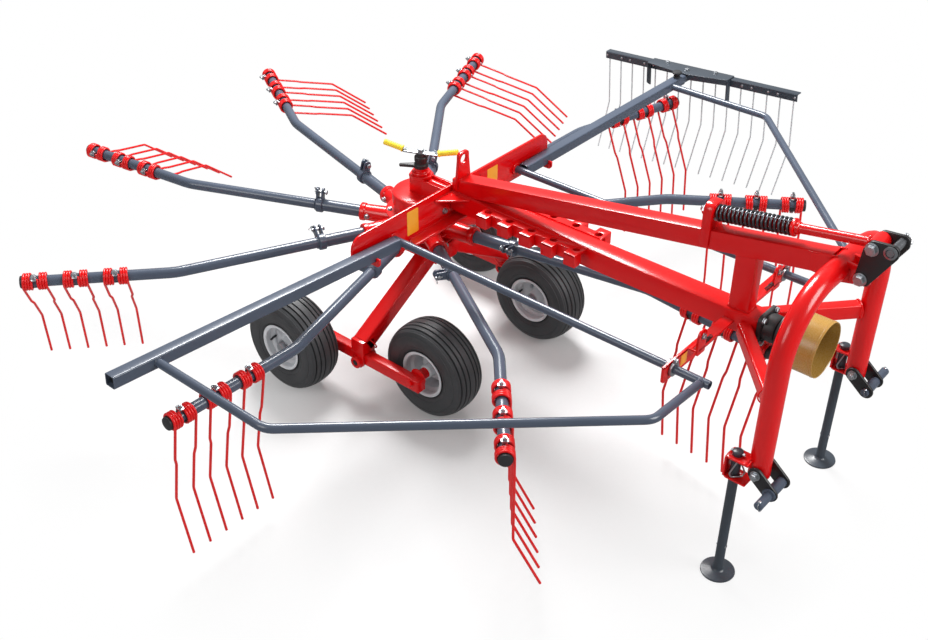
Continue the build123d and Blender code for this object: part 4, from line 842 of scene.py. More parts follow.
def draw_hub_bolts(mesh):
    for index in range(ARM_COUNT):
        turn = math.radians(ARM_START + 40 * index + 20)
        spot = Vector((math.cos(turn) * 118, math.sin(turn) * 118, 575.2))
        bolt(mesh, spot, Z, 10)
    for index in range(ARM_COUNT):
        along, lead, up, bend, far, side = arm_frame(index)
        spot = Z * ARM_ROOT_Z + along * 205
        bolt(mesh, spot + lead * 31.4, lead, 10, stub=2)


def draw_arms(mesh):
    """Inner tube into its socket, and the bent outer tube with its collar."""
    for index in range(ARM_COUNT):
        along, lead, up, bend, far, side = arm_frame(index)
        root = Z * ARM_ROOT_Z
        rod(mesh, root + along * 176.6, root + along * (COLLAR_AT + 2), INNER_TUBE_R, sides=36)
        line = [root + along * COLLAR_AT, bend, bend + far * (BEND_TO_COIL + ARM_TIP)]
        pipe(mesh, line, OUTER_TUBE_R, BEND_R, sides=36)
        # Collar where the outer tube is pinned on, with its two ears
        turned(mesh, root + along * (COLLAR_AT - 2), along, [
            (INNER_TUBE_R + 0.3, 0), (27, 0), (29, 2), (29, 22), (27, 25), (21, 28), (OUTER_TUBE_R + 0.2, 30),
        ], sides=36, closed=True)
        ring_weld(mesh, root + along * (COLLAR_AT + 29), along, 20.5, 2.0)
        trail = math.radians(TINE_TRAIL[index])
        rise = up * math.sin(trail) - lead * math.cos(trail)
        for gap in (-10, 10):
            foot = root + along * (COLLAR_AT + 12 + gap)
            plate(mesh, foot, rise, along.cross(rise), soften([
                (20, -16), (62, -14), (66, 0), (62, 14), (20, 16),
            ], [2, 11, 9, 11, 2]), 6, holes=[circle(6.2, 20, 50, 0)])


def draw_arm_zinc(mesh):
    """Pins through the collar ears with their ring clips."""
    for index in range(ARM_COUNT):
        along, lead, up, bend, far, side = arm_frame(index)
        trail = math.radians(TINE_TRAIL[index])
        rise = up * math.sin(trail) - lead * math.cos(trail)
        head = Z * ARM_ROOT_Z + along * (COLLAR_AT + 12) + rise * 50
        rod(mesh, head - along * 22, head + along * 22, 5.6, sides=18)
        turned(mesh, head - along * 22, -along, [(3, 0), (9, 0), (9, 3), (7.5, 4.5), (3, 4.5)], sides=22)
        lynch_pin(mesh, head + along * 18, rise, -rise.cross(along), 0.62)


def draw_caps(mesh):
    for index in range(ARM_COUNT):
        along, lead, up, bend, far, side = arm_frame(index)
        tip = bend + far * (BEND_TO_COIL + ARM_TIP - 9)
        turned(mesh, tip, far, [
            (OUTER_TUBE_R + 0.1, 0), (21.2, 0.4), (21.5, 1.4), (21.5, 8), (20.4, 11.0), (17, 12), (1, 12),
        ], sides=32)


def draw_tines(mesh, index, wire):
    """Three double tines of one arm: two coils, the bridge between them and two cranked legs each."""
    along, lead, up, bend, far, side = arm_frame(index)
    fore, rise = trail_frame(index)
    toe = math.radians(TINE_TOE)
    for pair in range(PAIRS):
        middle = bend + far * (BEND_TO_COIL - COIL_HALF_PITCH - PAIR_PITCH * pair)
        for way in (-1, 1):
            inner = way * (COIL_HALF_PITCH - 18.8)
            outer = way * (COIL_HALF_PITCH + 9.7)
            coil = []
            for k in range(COIL_STEPS + 1):
                t = k / COIL_STEPS
                spin = math.radians(90 - 360 * COIL_TURNS * t)
                reach = fore * math.cos(spin) + rise * math.sin(spin)
                coil.append(middle + far * (inner + (outer - inner) * t) + reach * COIL_R)
            bridge = middle + rise * COIL_R + far * way * 0.5
            foot = middle + fore * COIL_R
            upper = foot + far * outer
            lower = foot + far * way * 33.0
            leg = [
                upper - rise * 6, upper - rise * 132, lower - rise * 156, lower - rise * TINE_KNEE,
                lower - rise * (TINE_KNEE + TINE_TIP * math.cos(toe)) + fore * TINE_TIP * math.sin(toe),
            ]
            sweep(mesh, [bridge] + coil[1:] + rounded(leg, 26), circle(wire, 12), chamfer=1.6, hint=far)

def draw_clamps(mesh):
    """Zinc strap, bolt and nut that hold each double tine to its tube."""
    for index in range(ARM_COUNT):
        along, lead, up, bend, far, side = arm_frame(index)
        fore, rise = trail_frame(index)
        for pair in range(PAIRS):
            middle = bend + far * (BEND_TO_COIL - COIL_HALF_PITCH - PAIR_PITCH * pair)
            top = middle + rise * 34.5
            plate(mesh, top, far, fore, soften([(-8.4, -12), (8.4, -12), (8.4, 12), (-8.4, 12)], 4), 4)
            bolt(mesh, top + rise * 2, rise, 8.5, stub=4)
            for way in (-1, 1):
                plate(mesh, middle + rise * 27 + far * way * 6.9, fore, rise, soften([
                    (-9, -6), (9, -6), (7, 8), (-7, 8),
                ], 2), 3)
            bolt(mesh, middle - rise * 22.5, -rise, 8.5)


def draw_saddles(mesh):
    """Black saddle under the tube, against the bolt's head."""
    for index in range(ARM_COUNT):
        along, lead, up, bend, far, side = arm_frame(index)
        fore, rise = trail_frame(index)
        for pair in range(PAIRS):
            middle = bend + far * (BEND_TO_COIL - COIL_HALF_PITCH - PAIR_PITCH * pair)
            arc = []
            for k in range(13):
                spin = math.radians(-165 + 150 * k / 12)
                arc.append((22.0 * math.cos(spin), 22.0 * math.sin(spin)))
            for k in range(12, -1, -1):
                spin = math.radians(-165 + 150 * k / 12)
                arc.append((19.3 * math.cos(spin), 19.3 * math.sin(spin)))
            plate(mesh, middle, fore, rise, arc, 15, bevel=0.5)


def make_rotor(settings):
    wire = settings.tine_wire * 1000
    build("hub_looks", "rotor", LOOKS["red"], draw_hub, ["rotor_hub"])
    build("hub_bolts", "rotor", LOOKS["zinc"], draw_hub_bolts)
    build("arm_looks", "rotor", LOOKS["slate"], draw_arms, ["tine_arms"])
    build("arm_pins", "rotor", LOOKS["zinc"], draw_arm_zinc)
    build("arm_caps", "rotor", LOOKS["cap"], draw_caps)
    build("tine_clamps", "rotor", LOOKS["zinc"], draw_clamps)
    build("tine_saddles", "rotor", LOOKS["black"], draw_saddles)
    for index in range(ARM_COUNT):
        name = "tines_" + str(index + 1)
        build(name + "_looks", "rotor", LOOKS["tine"], lambda m: draw_tines(m, index, wire),
              [name])


# Gear case and crank


def draw_case(mesh):
    """Flat cover disc, the boss with its eight-sided flange, and two ribs that run to the cross beam."""
    turned(mesh, (0, 0, 0), Z, [
        (30, 481), (30, 604), (104, 604), (108, 607), (108, 634), (107.4, 642),
        (104.5, 647.5), (99, 650), (60, 650.6), (20, 651),
    ], sides=90)
    low = 645.0
    for side in (-1, 1):
        plate(mesh, (side * 28, 0, 0), Y, Z, soften([
            (CROSS_Y + 0.5, low), (-20, low), (-20, 711), (CROSS_Y + 0.5, 711),
        ], [1, 1, 1, 1]), 9, bevel=1.5)
        weld(mesh, [(side * 33.4, CROSS_Y + 2, 650.5), (side * 33.4, -30, 650.5)], 2.2)
    box(mesh, (-26, CROSS_Y + 0.5, low), (26, -20, 670), 1)
    turned(mesh, (0, -29, DRIVE_Z), -Y, [
        (15.6, 0), (19.5, 0), (19.5, 134.5), (15.6, 134.5),
    ], sides=40, closed=True)
    outline = soften([(-33, -31), (33, -31), (33, 38), (-33, 38)], [2, 2, 16, 16])
    plate(mesh, (0, 0, (low + 709) / 2), X, Y, outline, 709 - low, bevel=1)
    turned(mesh, (0, 0, 0), Z, [
        (20, 706.5), (43.5, 706.5), (45, 708), (45, 718), (43, 720), (20, 721),
    ], sides=8)
    turned(mesh, (0, 0, 0), Z, [
        (20, 719), (34, 719), (34.5, 720.5), (34.5, 729), (33, 731),
        (27, 731.5), (25, 734), (25, 744), (20, 745),
    ], sides=48)


def draw_crank_head(mesh):
    """Cast ratchet head under the crank's bar, with its pawl's lever and its loop."""
    turned(mesh, (0, 0, 0), Z, [
        (20, 744), (25, 744.5), (26, 746), (26, 757), (24, 760), (20.5, 762), (20.5, 767),
        (23, 768.5), (24, 771), (24, 786), (22, 789), (18, 790), (17, 799.4),
    ], sides=44)
    lever = Vector((-0.64, 0.77, 0))
    side = Z.cross(lever)
    plate(mesh, Vector((0, 0, 752)) + lever * 34, lever, side, soften([
        (-14, -15), (4, -11), (42, -6), (46, 0), (42, 6), (4, 11), (-14, 15),
    ], [2, 16, 5, 4, 5, 16, 2]), 11, bevel=2.5)
    loop = Vector((0.93, 0.36, 0.0))
    plate(mesh, Vector((0, 0, 774)) + loop * 34, (loop * 0.9 + Z * 0.43).normalized(), Z.cross(loop), soften([
        (-18, -15), (12, -14), (26, 0), (12, 14), (-18, 15),
    ], [3, 12, 10, 12, 3]), 10, holes=[circle(7.5, 24, 10, 0)], bevel=2)
    rod(mesh, Vector((0, 0, 757)) + loop * 20, Vector((0, 0, 757)) + loop * 40, 8, sides=24, chamfer=2)


def crank_points():
    """Line of the crank's bar: flat in its middle, its ends bent up into the grips."""
    return [
        Vector((0, 0, 813)) + CRANK_DIR * -140 + Z * 12, Vector((0, 0, 804)) + CRANK_DIR * -52,
        Vector((0, 0, 804)) + CRANK_DIR * 52, Vector((0, 0, 813)) + CRANK_DIR * 140 + Z * 12,
    ]


def draw_crank(mesh):
    low, a, b, high = crank_points()
    side = Z.cross(CRANK_DIR)
    plate(mesh, (0, 0, 802.5), CRANK_DIR, side, slot((-58, 0), (58, 0), 12), 6, bevel=1.2)
    rod(mesh, a - CRANK_DIR * 2, low, 5, sides=16)
    rod(mesh, b + CRANK_DIR * 2, high, 5, sides=16)
    washer(mesh, (0, 0, 805.6), Z, 13, 2.2)
    bolt(mesh, (0, 0, 807.8), Z, 13, seat=False)
    for way in (-1, 1):
        ring_weld(mesh, Vector((0, 0, 804.5)) + CRANK_DIR * way * 57, CRANK_DIR, 6, 1.8)


def draw_grips(mesh):
    """Grips with moulded ribs and a flange at the hand's edge."""
    low, a, b, high = crank_points()
    for foot, tip in ((a, low), (b, high)):
        along = (tip - foot).normalized()
        start = foot + along * 16
        length = (tip - start).length - 1
        profile = [(5.4, 0), (12.5, 0), (13, 1.5), (12.5, 4), (10.4, 6)]
        place = 9.0
        while place < length - 9:
            profile += [(10.0, place), (11.0, place + 1.6), (11.0, place + 4.2), (10.0, place + 5.8)]
            place += 7.2
        profile += [(10.8, length - 6), (11.0, length - 3), (9.5, length + 0.2), (5.4, length + 1)]
        turned(mesh, start, along, profile, sides=28)


def make_case():
    build("gear_case_looks", "frame", LOOKS["red"], draw_case, ["gear_case"])
    build("crank_head", "frame", LOOKS["cast"], draw_crank_head)
    build("crank_looks", "frame", LOOKS["galvanised"], draw_crank, ["crank"])
    build("crank_grip_looks", "frame", LOOKS["yellow"], draw_grips, ["crank_grips"])


# Beams


def draw_cross_beam(mesh):
    """Web with rounded upper corners, lower flange, hinge bosses and stiffening ribs."""
    half = 530
    plate(mesh, (0, (CROSS_Y + WEB_Y) / 2, 0), X, Z, soften([
        (-half + 30, 620), (half - 30, 620), (half, 654), (half, 745), (-half, 745), (-half, 654),
    ], [12, 12, 14, 58, 58, 14]), 8, holes=[
        circle(28, 32, 0, DRIVE_Z), circle(14.3, 36, HINGE_X, HINGE_Z), circle(14.3, 36, -HINGE_X, HINGE_Z),
    ], bevel=1)
    plate(mesh, (0, WEB_Y - 23, 624), X, Y, soften([
        (-275, -23), (275, -23), (255, 23.5), (-255, 23.5),
    ], [8, 8, 1, 1]), 8, bevel=1)
    weld(mesh, [(-252, WEB_Y - 0.5, 629), (252, WEB_Y - 0.5, 629)], 2.6)
    for side in (-1, 1):
        for y in (WEB_Y, CROSS_Y):
            out = -1 if y == WEB_Y else 1
            turned(mesh, (side * HINGE_X, y, HINGE_Z), Y * out, [
                (13.7, 0), (23, 0), (23.5, 1), (23.5, 5), (22.5, 6), (13.7, 6),
            ], sides=36, closed=True)
        # Stiffening rib behind the web, down to the case
        plate(mesh, (side * 57.5, CROSS_Y + 0.5, 0), Y, Z, soften([
            (0, 640), (0, 736), (14, 736), (20, 650),
        ], 2), 4)


def draw_guard_hooks(mesh):
    """J hooks of flat bar under the guards' square tubes, upturned at the front."""
    for name, side in SIDES.items():
        x = side * 470
        low = HINGE_Z - 20.3 + (470 - 9 - HINGE_X) * math.tan(math.radians(GUARD_TILTS[name]))
        path = [
            (x, WEB_Y + 3, low - 6), (x, GUARD_Y - 31, low - 6), (x, GUARD_Y - 31, low + 18),
        ]
        sweep(mesh, path, rectangle(18, 6, 1.2), bend=9, chamfer=0.8, hint=X)
        weld(mesh, [(x - 10, WEB_Y - 0.5, low - 9), (x + 10, WEB_Y - 0.5, low - 9)], 2.4)


def draw_lower_beam(mesh):
    """Channel of folded sheet, open below, with a rack of drilled tabs on each side and two gussets."""
    rear = WEB_Y - 0.4
    outline = [
        (-40, BEAM_LOW), (-34.5, BEAM_LOW), (-34.5, 713), (-31.5, 716.2),
        (31.5, 716.2), (34.5, 713), (34.5, BEAM_LOW),
        (40, BEAM_LOW), (40, 716), (38.2, 720.2), (34, BEAM_TOP), (-34, BEAM_TOP), (-38.2, 720.2), (-40, 716),
    ]
    plate(mesh, (0, (rear + BEAM_FRONT_Y) / 2, 0), X, Z, outline, rear - BEAM_FRONT_Y, bevel=0.4)
    plate(mesh, (0, BEAM_FRONT_Y + 3.2, 0), X, Z, soften([
        (-40, BEAM_LOW), (40, BEAM_LOW), (40, BEAM_TOP), (-40, BEAM_TOP),
    ], [2, 2, 6, 6]), 6, holes=[circle(26, 32, 0, DRIVE_Z)])
    for side in (-1, 1):
        plate(mesh, (0, 0, 719), X, Y, soften([
            (side * 39, rear), (side * 128, rear), (side * 120, rear - 12), (side * 39, rear - 96),
        ], [0, 3, 8, 3]), 6)
        weld(mesh, [(side * 41, rear - 2, 722.5), (side * 122, rear - 2, 722.5)], 2.2)
        weld(mesh, [(side * 40.5, rear - 4, 722.3), (side * 40.5, rear - 92, 722.3)], 2.2)
        # Rack: one folded strip whose outer lip is cut into tabs
        root = side * 39
        last = RACK_TABS - 1
        outline = [(root, RACK_START)]
        for tab in range(RACK_TABS):
            back = RACK_START - RACK_PITCH * tab
            front = back - RACK_TAB
            outline += [(side * 104, back), (side * 104, front)]
            if tab < last:
                outline += [(side * 75, front), (side * 75, back - RACK_PITCH)]
        outline.append((root, front))
        radii = [0] + [3, 3, 4, 4] * last + [3, 3, 0]
        if side < 0:
            outline = outline[::-1]
            radii = radii[::-1]
        middles = [RACK_START - RACK_TAB / 2 - RACK_PITCH * tab for tab in range(RACK_TABS)]
        holes = [circle(14, 28, side * 62, y) for y in middles]
        plate(mesh, (0, 0, 719), X, Y, soften(outline, radii), 6, holes=holes)
        for tab, y in enumerate(middles):
            plate(mesh, (side * 101, y, 698.5), Y, Z, rectangle(45, 44, 3), 6)
            for end in (-1, 1):
                plate(mesh, (side * 86, y + end * 20, 698), X, Z, rectangle(35, 43, 1), 5.6)
            if tab < last:
                plate(mesh, (side * 72, y - RACK_PITCH / 2, 698), Y, Z, rectangle(53, 42, 1), 5)
        weld(mesh, [(side * 41, -347, 722.5), (side * 41, -760, 722.5)], 2.2)


def upper_z(y):
    """Height of the upper beam's axis."""
    return 737 + (WEB_Y - y) * UPPER_SLOPE


def draw_upper_beam(mesh):
    """Sloping box beam, cut off on the lower beam and the cross beam, with its column and plates."""
    rear = WEB_Y - 0.5
    front = HEAD_Y + 26
    half = 32 / math.cos(math.atan(UPPER_SLOPE))
    meet = 722.5
    rear_low = rear - (half - (737 - meet)) / UPPER_SLOPE
    side_view = [
        (rear, meet), (rear, 737 + half), (front, upper_z(front) + half), (front, upper_z(front) - half),
        (rear_low, meet),
    ]
    plate(mesh, (0, 0, 0), Y, Z, side_view, 60, bevel=4)
    weld(mesh, [(-31, rear - 1, meet), (-31, rear_low, meet), (-31, rear_low - 40, meet)], 2.2)
    weld(mesh, [(31, rear - 1, meet), (31, rear_low, meet)], 2.2)
    # Column and its foot on the lower beam
    top = upper_z(COLUMN_Y) - half + 8
    bar(mesh, (0, COLUMN_Y, 722.5), (0, COLUMN_Y, top), 52, 70, 5, hint=Y, chamfer=0)
    for y in (COLUMN_Y + 35, COLUMN_Y - 35):
        weld(mesh, [(-26, y, 724), (26, y, 724)], 2.4)
    for x in (-26.5, 26.5):
        weld(mesh, [(x, COLUMN_Y + 35, 724), (x, COLUMN_Y - 35, 724)], 2.4)
        weld(mesh, [
            (x, COLUMN_Y + 35, upper_z(COLUMN_Y + 35) - half),
            (x, COLUMN_Y - 35, upper_z(COLUMN_Y - 35) - half),
        ], 2.4)
    # Sloping saddle round the headstock's tube
    for side in (-1, 1):
        plate(mesh, (side * 28.2, 0, 0), Y, Z, soften([
            (front + 60, upper_z(front + 60) - 28),
            (HEAD_Y + 30, HEAD_TOP_Z - 44), (HEAD_Y + 4, HEAD_TOP_Z - 36),
            (HEAD_Y + 34, HEAD_TOP_Z), (HEAD_Y + 4, HEAD_TOP_Z + 36), (front + 60, upper_z(front + 60) + 28),
        ], [4, 6, 2, 30, 2, 10]), 6)
    # Damper bracket with its rounded top
    place = DAMPER[0].y
    plate(mesh, (0, place - 9, 0), X, Z, soften([
        (-38, upper_z(place) - 20), (38, upper_z(place) - 20), (38, 1038), (-38, 1038),
    ], [4, 4, 24, 24]), 30, bevel=1.5)
    # Crane eye
    for x in (-1, 1):
        weld(mesh, [(x * 38, -192, 744), (x * 31, -192, 770)], 2)
    plate(mesh, (0, -198, 0), X, Z, soften([
        (-40, 738), (40, 738), (27, 846), (27, 873), (-27, 873), (-27, 846),
    ], [4, 4, 12, 26, 26, 12]), 12, holes=[circle(17, 32, 0, 846)], bevel=1.5)


def draw_labels(mesh):
    """Blank label plates on the cross beam and the stay."""
    for x, y, z, w, h in (
        (-236, WEB_Y, 686, 56, 92), (196, WEB_Y, 694, 58, 62),
        (-273, STAY_Y - 4, 662, 34, 38), (273, STAY_Y - 4, 662, 34, 38),
    ):
        plate(mesh, (x, y - 0.4, z), X, Z, rectangle(w, h, 3), 0.6, bevel=0.15)


def draw_beam_bolts(mesh):
    for side in (-1, 1):
        bolt(mesh, (side * 70, WEB_Y, 657), -Y, 11)
    bolt(mesh, DAMPER[0] + Y * 7, Y, 18, stub=6)


def make_beams():
    build("cross_beam_looks", "frame", LOOKS["red"], draw_cross_beam, ["cross_beam"])
    build("guard_hooks", "frame", LOOKS["red"], draw_guard_hooks)
    build("lower_beam_looks", "frame", LOOKS["red"], draw_lower_beam, ["lower_beam"])
    build("upper_beam_looks", "frame", LOOKS["red"], draw_upper_beam, ["upper_beam"])
    build("label_plates", "frame", LOOKS["label"], draw_labels)
    build("beam_bolts", "frame", LOOKS["zinc"], draw_beam_bolts)


# Headstock, top link rocker and damper


def draw_headstock(mesh):
    """Bent arch, the two braces, the fork plates and the stands' folded brackets."""
    h = HEAD_HALF
    pipe(mesh, [(-h, HEAD_Y, 418), (-h, HEAD_Y, HEAD_TOP_Z), (h, HEAD_Y, HEAD_TOP_Z), (h, HEAD_Y, 418)],
         HEAD_R, 200, sides=44, chamfer=1.5)
    for side in (-1, 1):
        start = Vector((side * 44, -1352, 676))
        end = Vector((side * (h - 26), HEAD_Y + 25, 676))
        bar(mesh, start, end, 40, 50, 6, hint=Z, chamfer=0)
        ring_weld(mesh, end - (end - start).normalized() * 2, (end - start), 30, 2.6)
        plate(mesh, (side * 25, 0, 0), Y, Z, soften([
            (HEAD_Y - 4, HEAD_TOP_Z - 44), (HEAD_Y + 8, HEAD_TOP_Z + 30), (FORK.y, FORK.z + 26),
            (FORK.y - 26, FORK.z + 24), (FORK.y - 26, FORK.z - 24), (FORK.y, FORK.z - 25),
        ], [6, 12, 4, 22, 22, 4]), 10, holes=[circle(10.4, 24, FORK.y, FORK.z)], bevel=1)
        weld(mesh, [(side * 31, HEAD_Y - 33, HEAD_TOP_Z - 30), (side * 31, HEAD_Y - 33, HEAD_TOP_Z + 8)], 2.4)
        # Folded bracket of the stand: top and bottom plates joined by a back
        x = side * STAND_X
        back = STAND_Y + 26
        for z in (401, 475):
            plate(mesh, (x, 0, z), X, Y, soften([
                (-28, HEAD_Y + 12), (28, HEAD_Y + 12), (28, back), (-28, back),
            ], [2, 2, 14, 14]), 6, holes=[circle(15.4, 28, 0, STAND_Y)])
        plate(mesh, (x, back - 3, 438), X, Z, rectangle(56, 74, 4), 6)
        weld(mesh, [(x - 26, HEAD_Y + 20, 479), (x + 24, HEAD_Y + 20, 479)], 2.4)


def draw_rocker(mesh):
    for side in (-1, 1):
        plate(mesh, (side * 35.3, 0, 0), Y, Z, soften([
            (FORK.y - 20, FORK.z - 18), (TOP_PIN.y - 20, TOP_PIN.z - 16), (TOP_PIN.y - 18, TOP_PIN.z + 20),
            (DAMPER[1].y + 8, DAMPER[1].z + 24), (DAMPER[1].y + 24, DAMPER[1].z - 6),
            (FORK.y + 20, FORK.z - 18),
        ], [18, 16, 16, 16, 14, 18]), 10, bevel=1)


def draw_rocker_bolts(mesh):
    for point in (FORK, DAMPER[1]):
        rod(mesh, point - X * 52, point + X * 46, 9.6, sides=24)
        for side in (-1, 1):
            bolt(mesh, point + X * side * 40.5, X * side, 19)


def draw_top_pin(mesh):
    rod(mesh, TOP_PIN - X * 52, TOP_PIN + X * 52, 12.5, sides=32, chamfer=2.5)
    turned(mesh, TOP_PIN - X * 46, -X, [(12.6, 0), (19, 0), (19, 5), (12.6, 6)], sides=28, closed=True)


def draw_top_pin_clip(mesh):
    lynch_pin(mesh, TOP_PIN + X * 46 + Z * 2, Z, -Y * 0.7 - Z * 0.7, 0.8)


def draw_damper(mesh):
    along = (DAMPER[1] - DAMPER[0]).normalized()
    rod(mesh, DAMPER[0] - along * 24, DAMPER[1] - along * 22, 15, sides=30, chamfer=2)
    seat = DAMPER[0] + along * 268
    turned(mesh, seat, along, [
        (15, -1), (26, 0), (27, 1.5), (27, 7), (25, 9), (19, 10), (18, 20), (15.2, 22),
    ], sides=40)
    turned(mesh, DAMPER[1] - X * 29.5, X, [
        (10.4, 0), (23, 0), (24, 1), (24, 58), (23, 59), (10.4, 59),
    ], sides=36, closed=True)
    ring_weld(mesh, DAMPER[1] - along * 25, along, 15.5, 2.4)


def draw_damper_spring(mesh):
    """Coil of 9 mm wire between the bracket and the collar."""
    along = (DAMPER[1] - DAMPER[0]).normalized()
    level, rise = across(along)
    first = 26.5
    last = 266.0
    turns = 18
    points = []
    count = turns * 26
    for k in range(count + 1):
        t = k / count
        place = first + (last - first) * t
        spin = math.tau * turns * t
        points.append(DAMPER[0] + along * place + (level * math.cos(spin) + rise * math.sin(spin)) * 22.4)
    sweep(mesh, points, circle(4.4, 12), chamfer=1, hint=along)


def draw_damper_zinc(mesh):
    along = (DAMPER[1] - DAMPER[0]).normalized()
    washer(mesh, DAMPER[0] + along * 18.5, along, 26, 4, bore=15.2)
    washer(mesh, DAMPER[0] - along * 9, -along, 24, 3, bore=15.2)


def make_headstock():
    build("headstock_looks", "frame", LOOKS["red"], draw_headstock, ["headstock"])
    build("rocker_looks", "frame", LOOKS["black"], draw_rocker, ["rocker"])
    build("rocker_bolts", "frame", LOOKS["zinc"], draw_rocker_bolts)
    build("top_link_pin", "frame", LOOKS["bright"], draw_top_pin)
    build("top_link_clip", "frame", LOOKS["zinc"], draw_top_pin_clip)
    build("damper_looks", "frame", LOOKS["red"], draw_damper, ["damper_rod"])
    build("damper_spring_looks", "frame", LOOKS["coil"], draw_damper_spring, ["damper_spring"])
    build("damper_washers", "frame", LOOKS["zinc"], draw_damper_zinc)


# Lower hitch and stands


def draw_lugs(mesh):
    for side in (-1, 1):
        for out in (-1, 1):
            x = side * HEAD_HALF + out * 36.8
            plate(mesh, (x, 0, 0), Y, Z, slot((LUG[0].y, LUG[0].z), (LUG[1].y, LUG[1].z), 24), 8, bevel=1)


def draw_lug_bolts(mesh):
    for side in (-1, 1):
        root = LUG[0] + X * side * HEAD_HALF
        rod(mesh, root - X * 50, root + X * 50, 9.6, sides=20)
        for out in (-1, 1):
            bolt(mesh, root + X * out * 40.8, X * out, 15, stub=(3 if out < 0 else 0))
        end = LUG[1] + X * side * (HEAD_HALF + 100)
        lynch_pin(mesh, end, Z, -Y * 0.3 - Z, 0.8)
        lynch_pin(mesh, LUG[1] + X * side * (HEAD_HALF - 45), Z, -Y * 0.3 - Z, 0.6)


def draw_lower_pins(mesh):
    """Link pins: a sleeve between the plates, a stepped stub outside."""
    for side in (-1, 1):
        inner = LUG[1] + X * side * (HEAD_HALF - 50)
        outer = LUG[1] + X * side * (HEAD_HALF + 108)
        rod(mesh, inner, outer, 13.9, sides=36, chamfer=3)
        turned(mesh, LUG[1] + X * (side * HEAD_HALF - 32.6), X, [
            (14.2, 0), (17, 0), (17, 65.2), (14.2, 65.2),
        ], sides=36, closed=True)
        turned(mesh, LUG[1] + X * side * (HEAD_HALF + 41), X * side, [
            (13.9, 0), (21, 0), (21, 5), (13.9, 6),
        ], sides=32, closed=True)


def draw_stand(mesh, side):
    """Tube with a domed cap and a dished foot."""
    x = side * STAND_X
    turned(mesh, (x, STAND_Y, 0), Z, [
        (8, 3), (44, 1.2), (50, 0), (53, 0.6), (54, 3), (53, 6), (48, 7.5), (24, 10.5), (17.5, 14), (15, 18),
        (15, 484), (16, 485), (16, 491), (12, 493.4), (1, 494),
    ], sides=48)


def draw_stand_pins(mesh, side):
    x = side * STAND_X
    rod(mesh, (x, STAND_Y - 24, 485.5), (x, STAND_Y + 22, 485.5), 4.5, sides=18)
    base = Vector((x - 14, STAND_Y - 14, 0))
    wide = Vector((0.71, -0.71, 0))
    pipe(mesh, [base + wide * u + Z * v for u, v in (
        (-3, 470), (-23, 424), (-17, 409), (17, 409), (23, 424), (3, 470),
    )], 2.5, 9, sides=10, chamfer=0)
    turned(mesh, (x, STAND_Y, 112), Y, [
        (4.5, -15.3), (6.2, -15.3), (6.2, 15.3), (4.5, 15.3),
    ], sides=24, closed=True)


def make_hitch():
    build("hitch_lug_looks", "frame", LOOKS["black"], draw_lugs, ["hitch_lugs"])
    build("hitch_bolts", "frame", LOOKS["zinc"], draw_lug_bolts)
    build("lower_link_pins", "frame", LOOKS["slate"], draw_lower_pins)
    for name, side in SIDES.items():
        body = "stand_" + name + "_leg"
        build("stand_looks_" + name, body, LOOKS["anthracite"], lambda m: draw_stand(m, side),
              ["stand_" + name])
        build("stand_pin_" + name, body, LOOKS["zinc"], lambda m: draw_stand_pins(m, side))


# Drive


def draw_shaft(mesh):
    """Shaft in the channel and the splined stub."""
    rod(mesh, (0, -22, DRIVE_Z), (0, -1366, DRIVE_Z), 13.9, sides=28)
    rod(mesh, (0, -1366, DRIVE_Z), (0, -1460, DRIVE_Z), 19.9, sides=32)
    rod(mesh, (0, WEB_Y - 40, DRIVE_Z), (0, WEB_Y - 130, DRIVE_Z), 25, sides=32, chamfer=2)
    # Angle and radius of the points of one spline and of the gap after it
    tooth = ((-16, 17.5), (-5, 17.5), (5, 17.5), (16, 17.5), (20, 14.6), (30, 14.4), (40, 14.6))
    outline = []
    for k in range(6):
        base = math.tau * k / 6
        for turn, reach in tooth:
            t = base + math.radians(turn)
            outline.append((reach * math.cos(t), reach * math.sin(t)))
    plate(mesh, (0, (-1459 - 1560) / 2, DRIVE_Z), X, Z, outline, 101, bevel=1.4)


def draw_bearing(mesh):
    """Bearing cover on the end of the channel: square flange and a round snout."""
    front = BEAM_FRONT_Y - 0.3
    plate(mesh, (0, front - 7, DRIVE_Z), X, Z, rectangle(103, 103, 16), 14, holes=[circle(20.5, 32)], bevel=2)
    turned(mesh, (0, front - 12, DRIVE_Z), -Y, [
        (20.5, 0), (45, 0), (45, 30), (42, 38), (36, 41), (34, 47.5), (20.5, 47.5),
    ], sides=48, closed=True)


def draw_bearing_bolts(mesh):
    for x in (-39, 39):
        for z in (-39, 39):
            bolt(mesh, (x, BEAM_FRONT_Y - 14.4, DRIVE_Z + z), -Y, 11)


def draw_drive_guard(mesh):
    """Round guard, open in front, with a rolled rim and the raised edge of its access hole."""
    rear = BEAM_FRONT_Y - 92
    turned(mesh, (0, rear, DRIVE_Z), -Y, [
        (26, 0), (84, 0), (89, 3), (90, 8), (90, 108), (89.6, 112),
        (88, 112.7), (86.6, 111), (87, 104), (87, 8), (84, 5), (26, 5),
    ], sides=90, closed=True)
    turned(mesh, (0, rear - 101, DRIVE_Z), -Y, [
        (89.9, 0), (90.8, 1), (90.8, 4), (89.9, 5),
    ], sides=90, closed=True)
    turned(mesh, (89, rear - 88, DRIVE_Z), X, [
        (8, -1), (11.5, -1), (11.5, 1.4), (10, 2.2), (8, 1.4),
    ], sides=28, closed=True)
    turned(mesh, (-89.5, rear - 86, DRIVE_Z - 6), -X, [(1, 0), (9, 0), (8.5, 1), (6, 2), (1, 2.2)], sides=24)


def draw_guard_base(mesh):
    """Clamping base of the guard on the bearing."""
    rear = BEAM_FRONT_Y - 60.7
    turned(mesh, (0, rear, DRIVE_Z), -Y, [
        (26, 0), (58, 0), (60, 2), (62, 12), (70, 20), (78, 30), (78, 34), (26, 34),
    ], sides=64, closed=True)


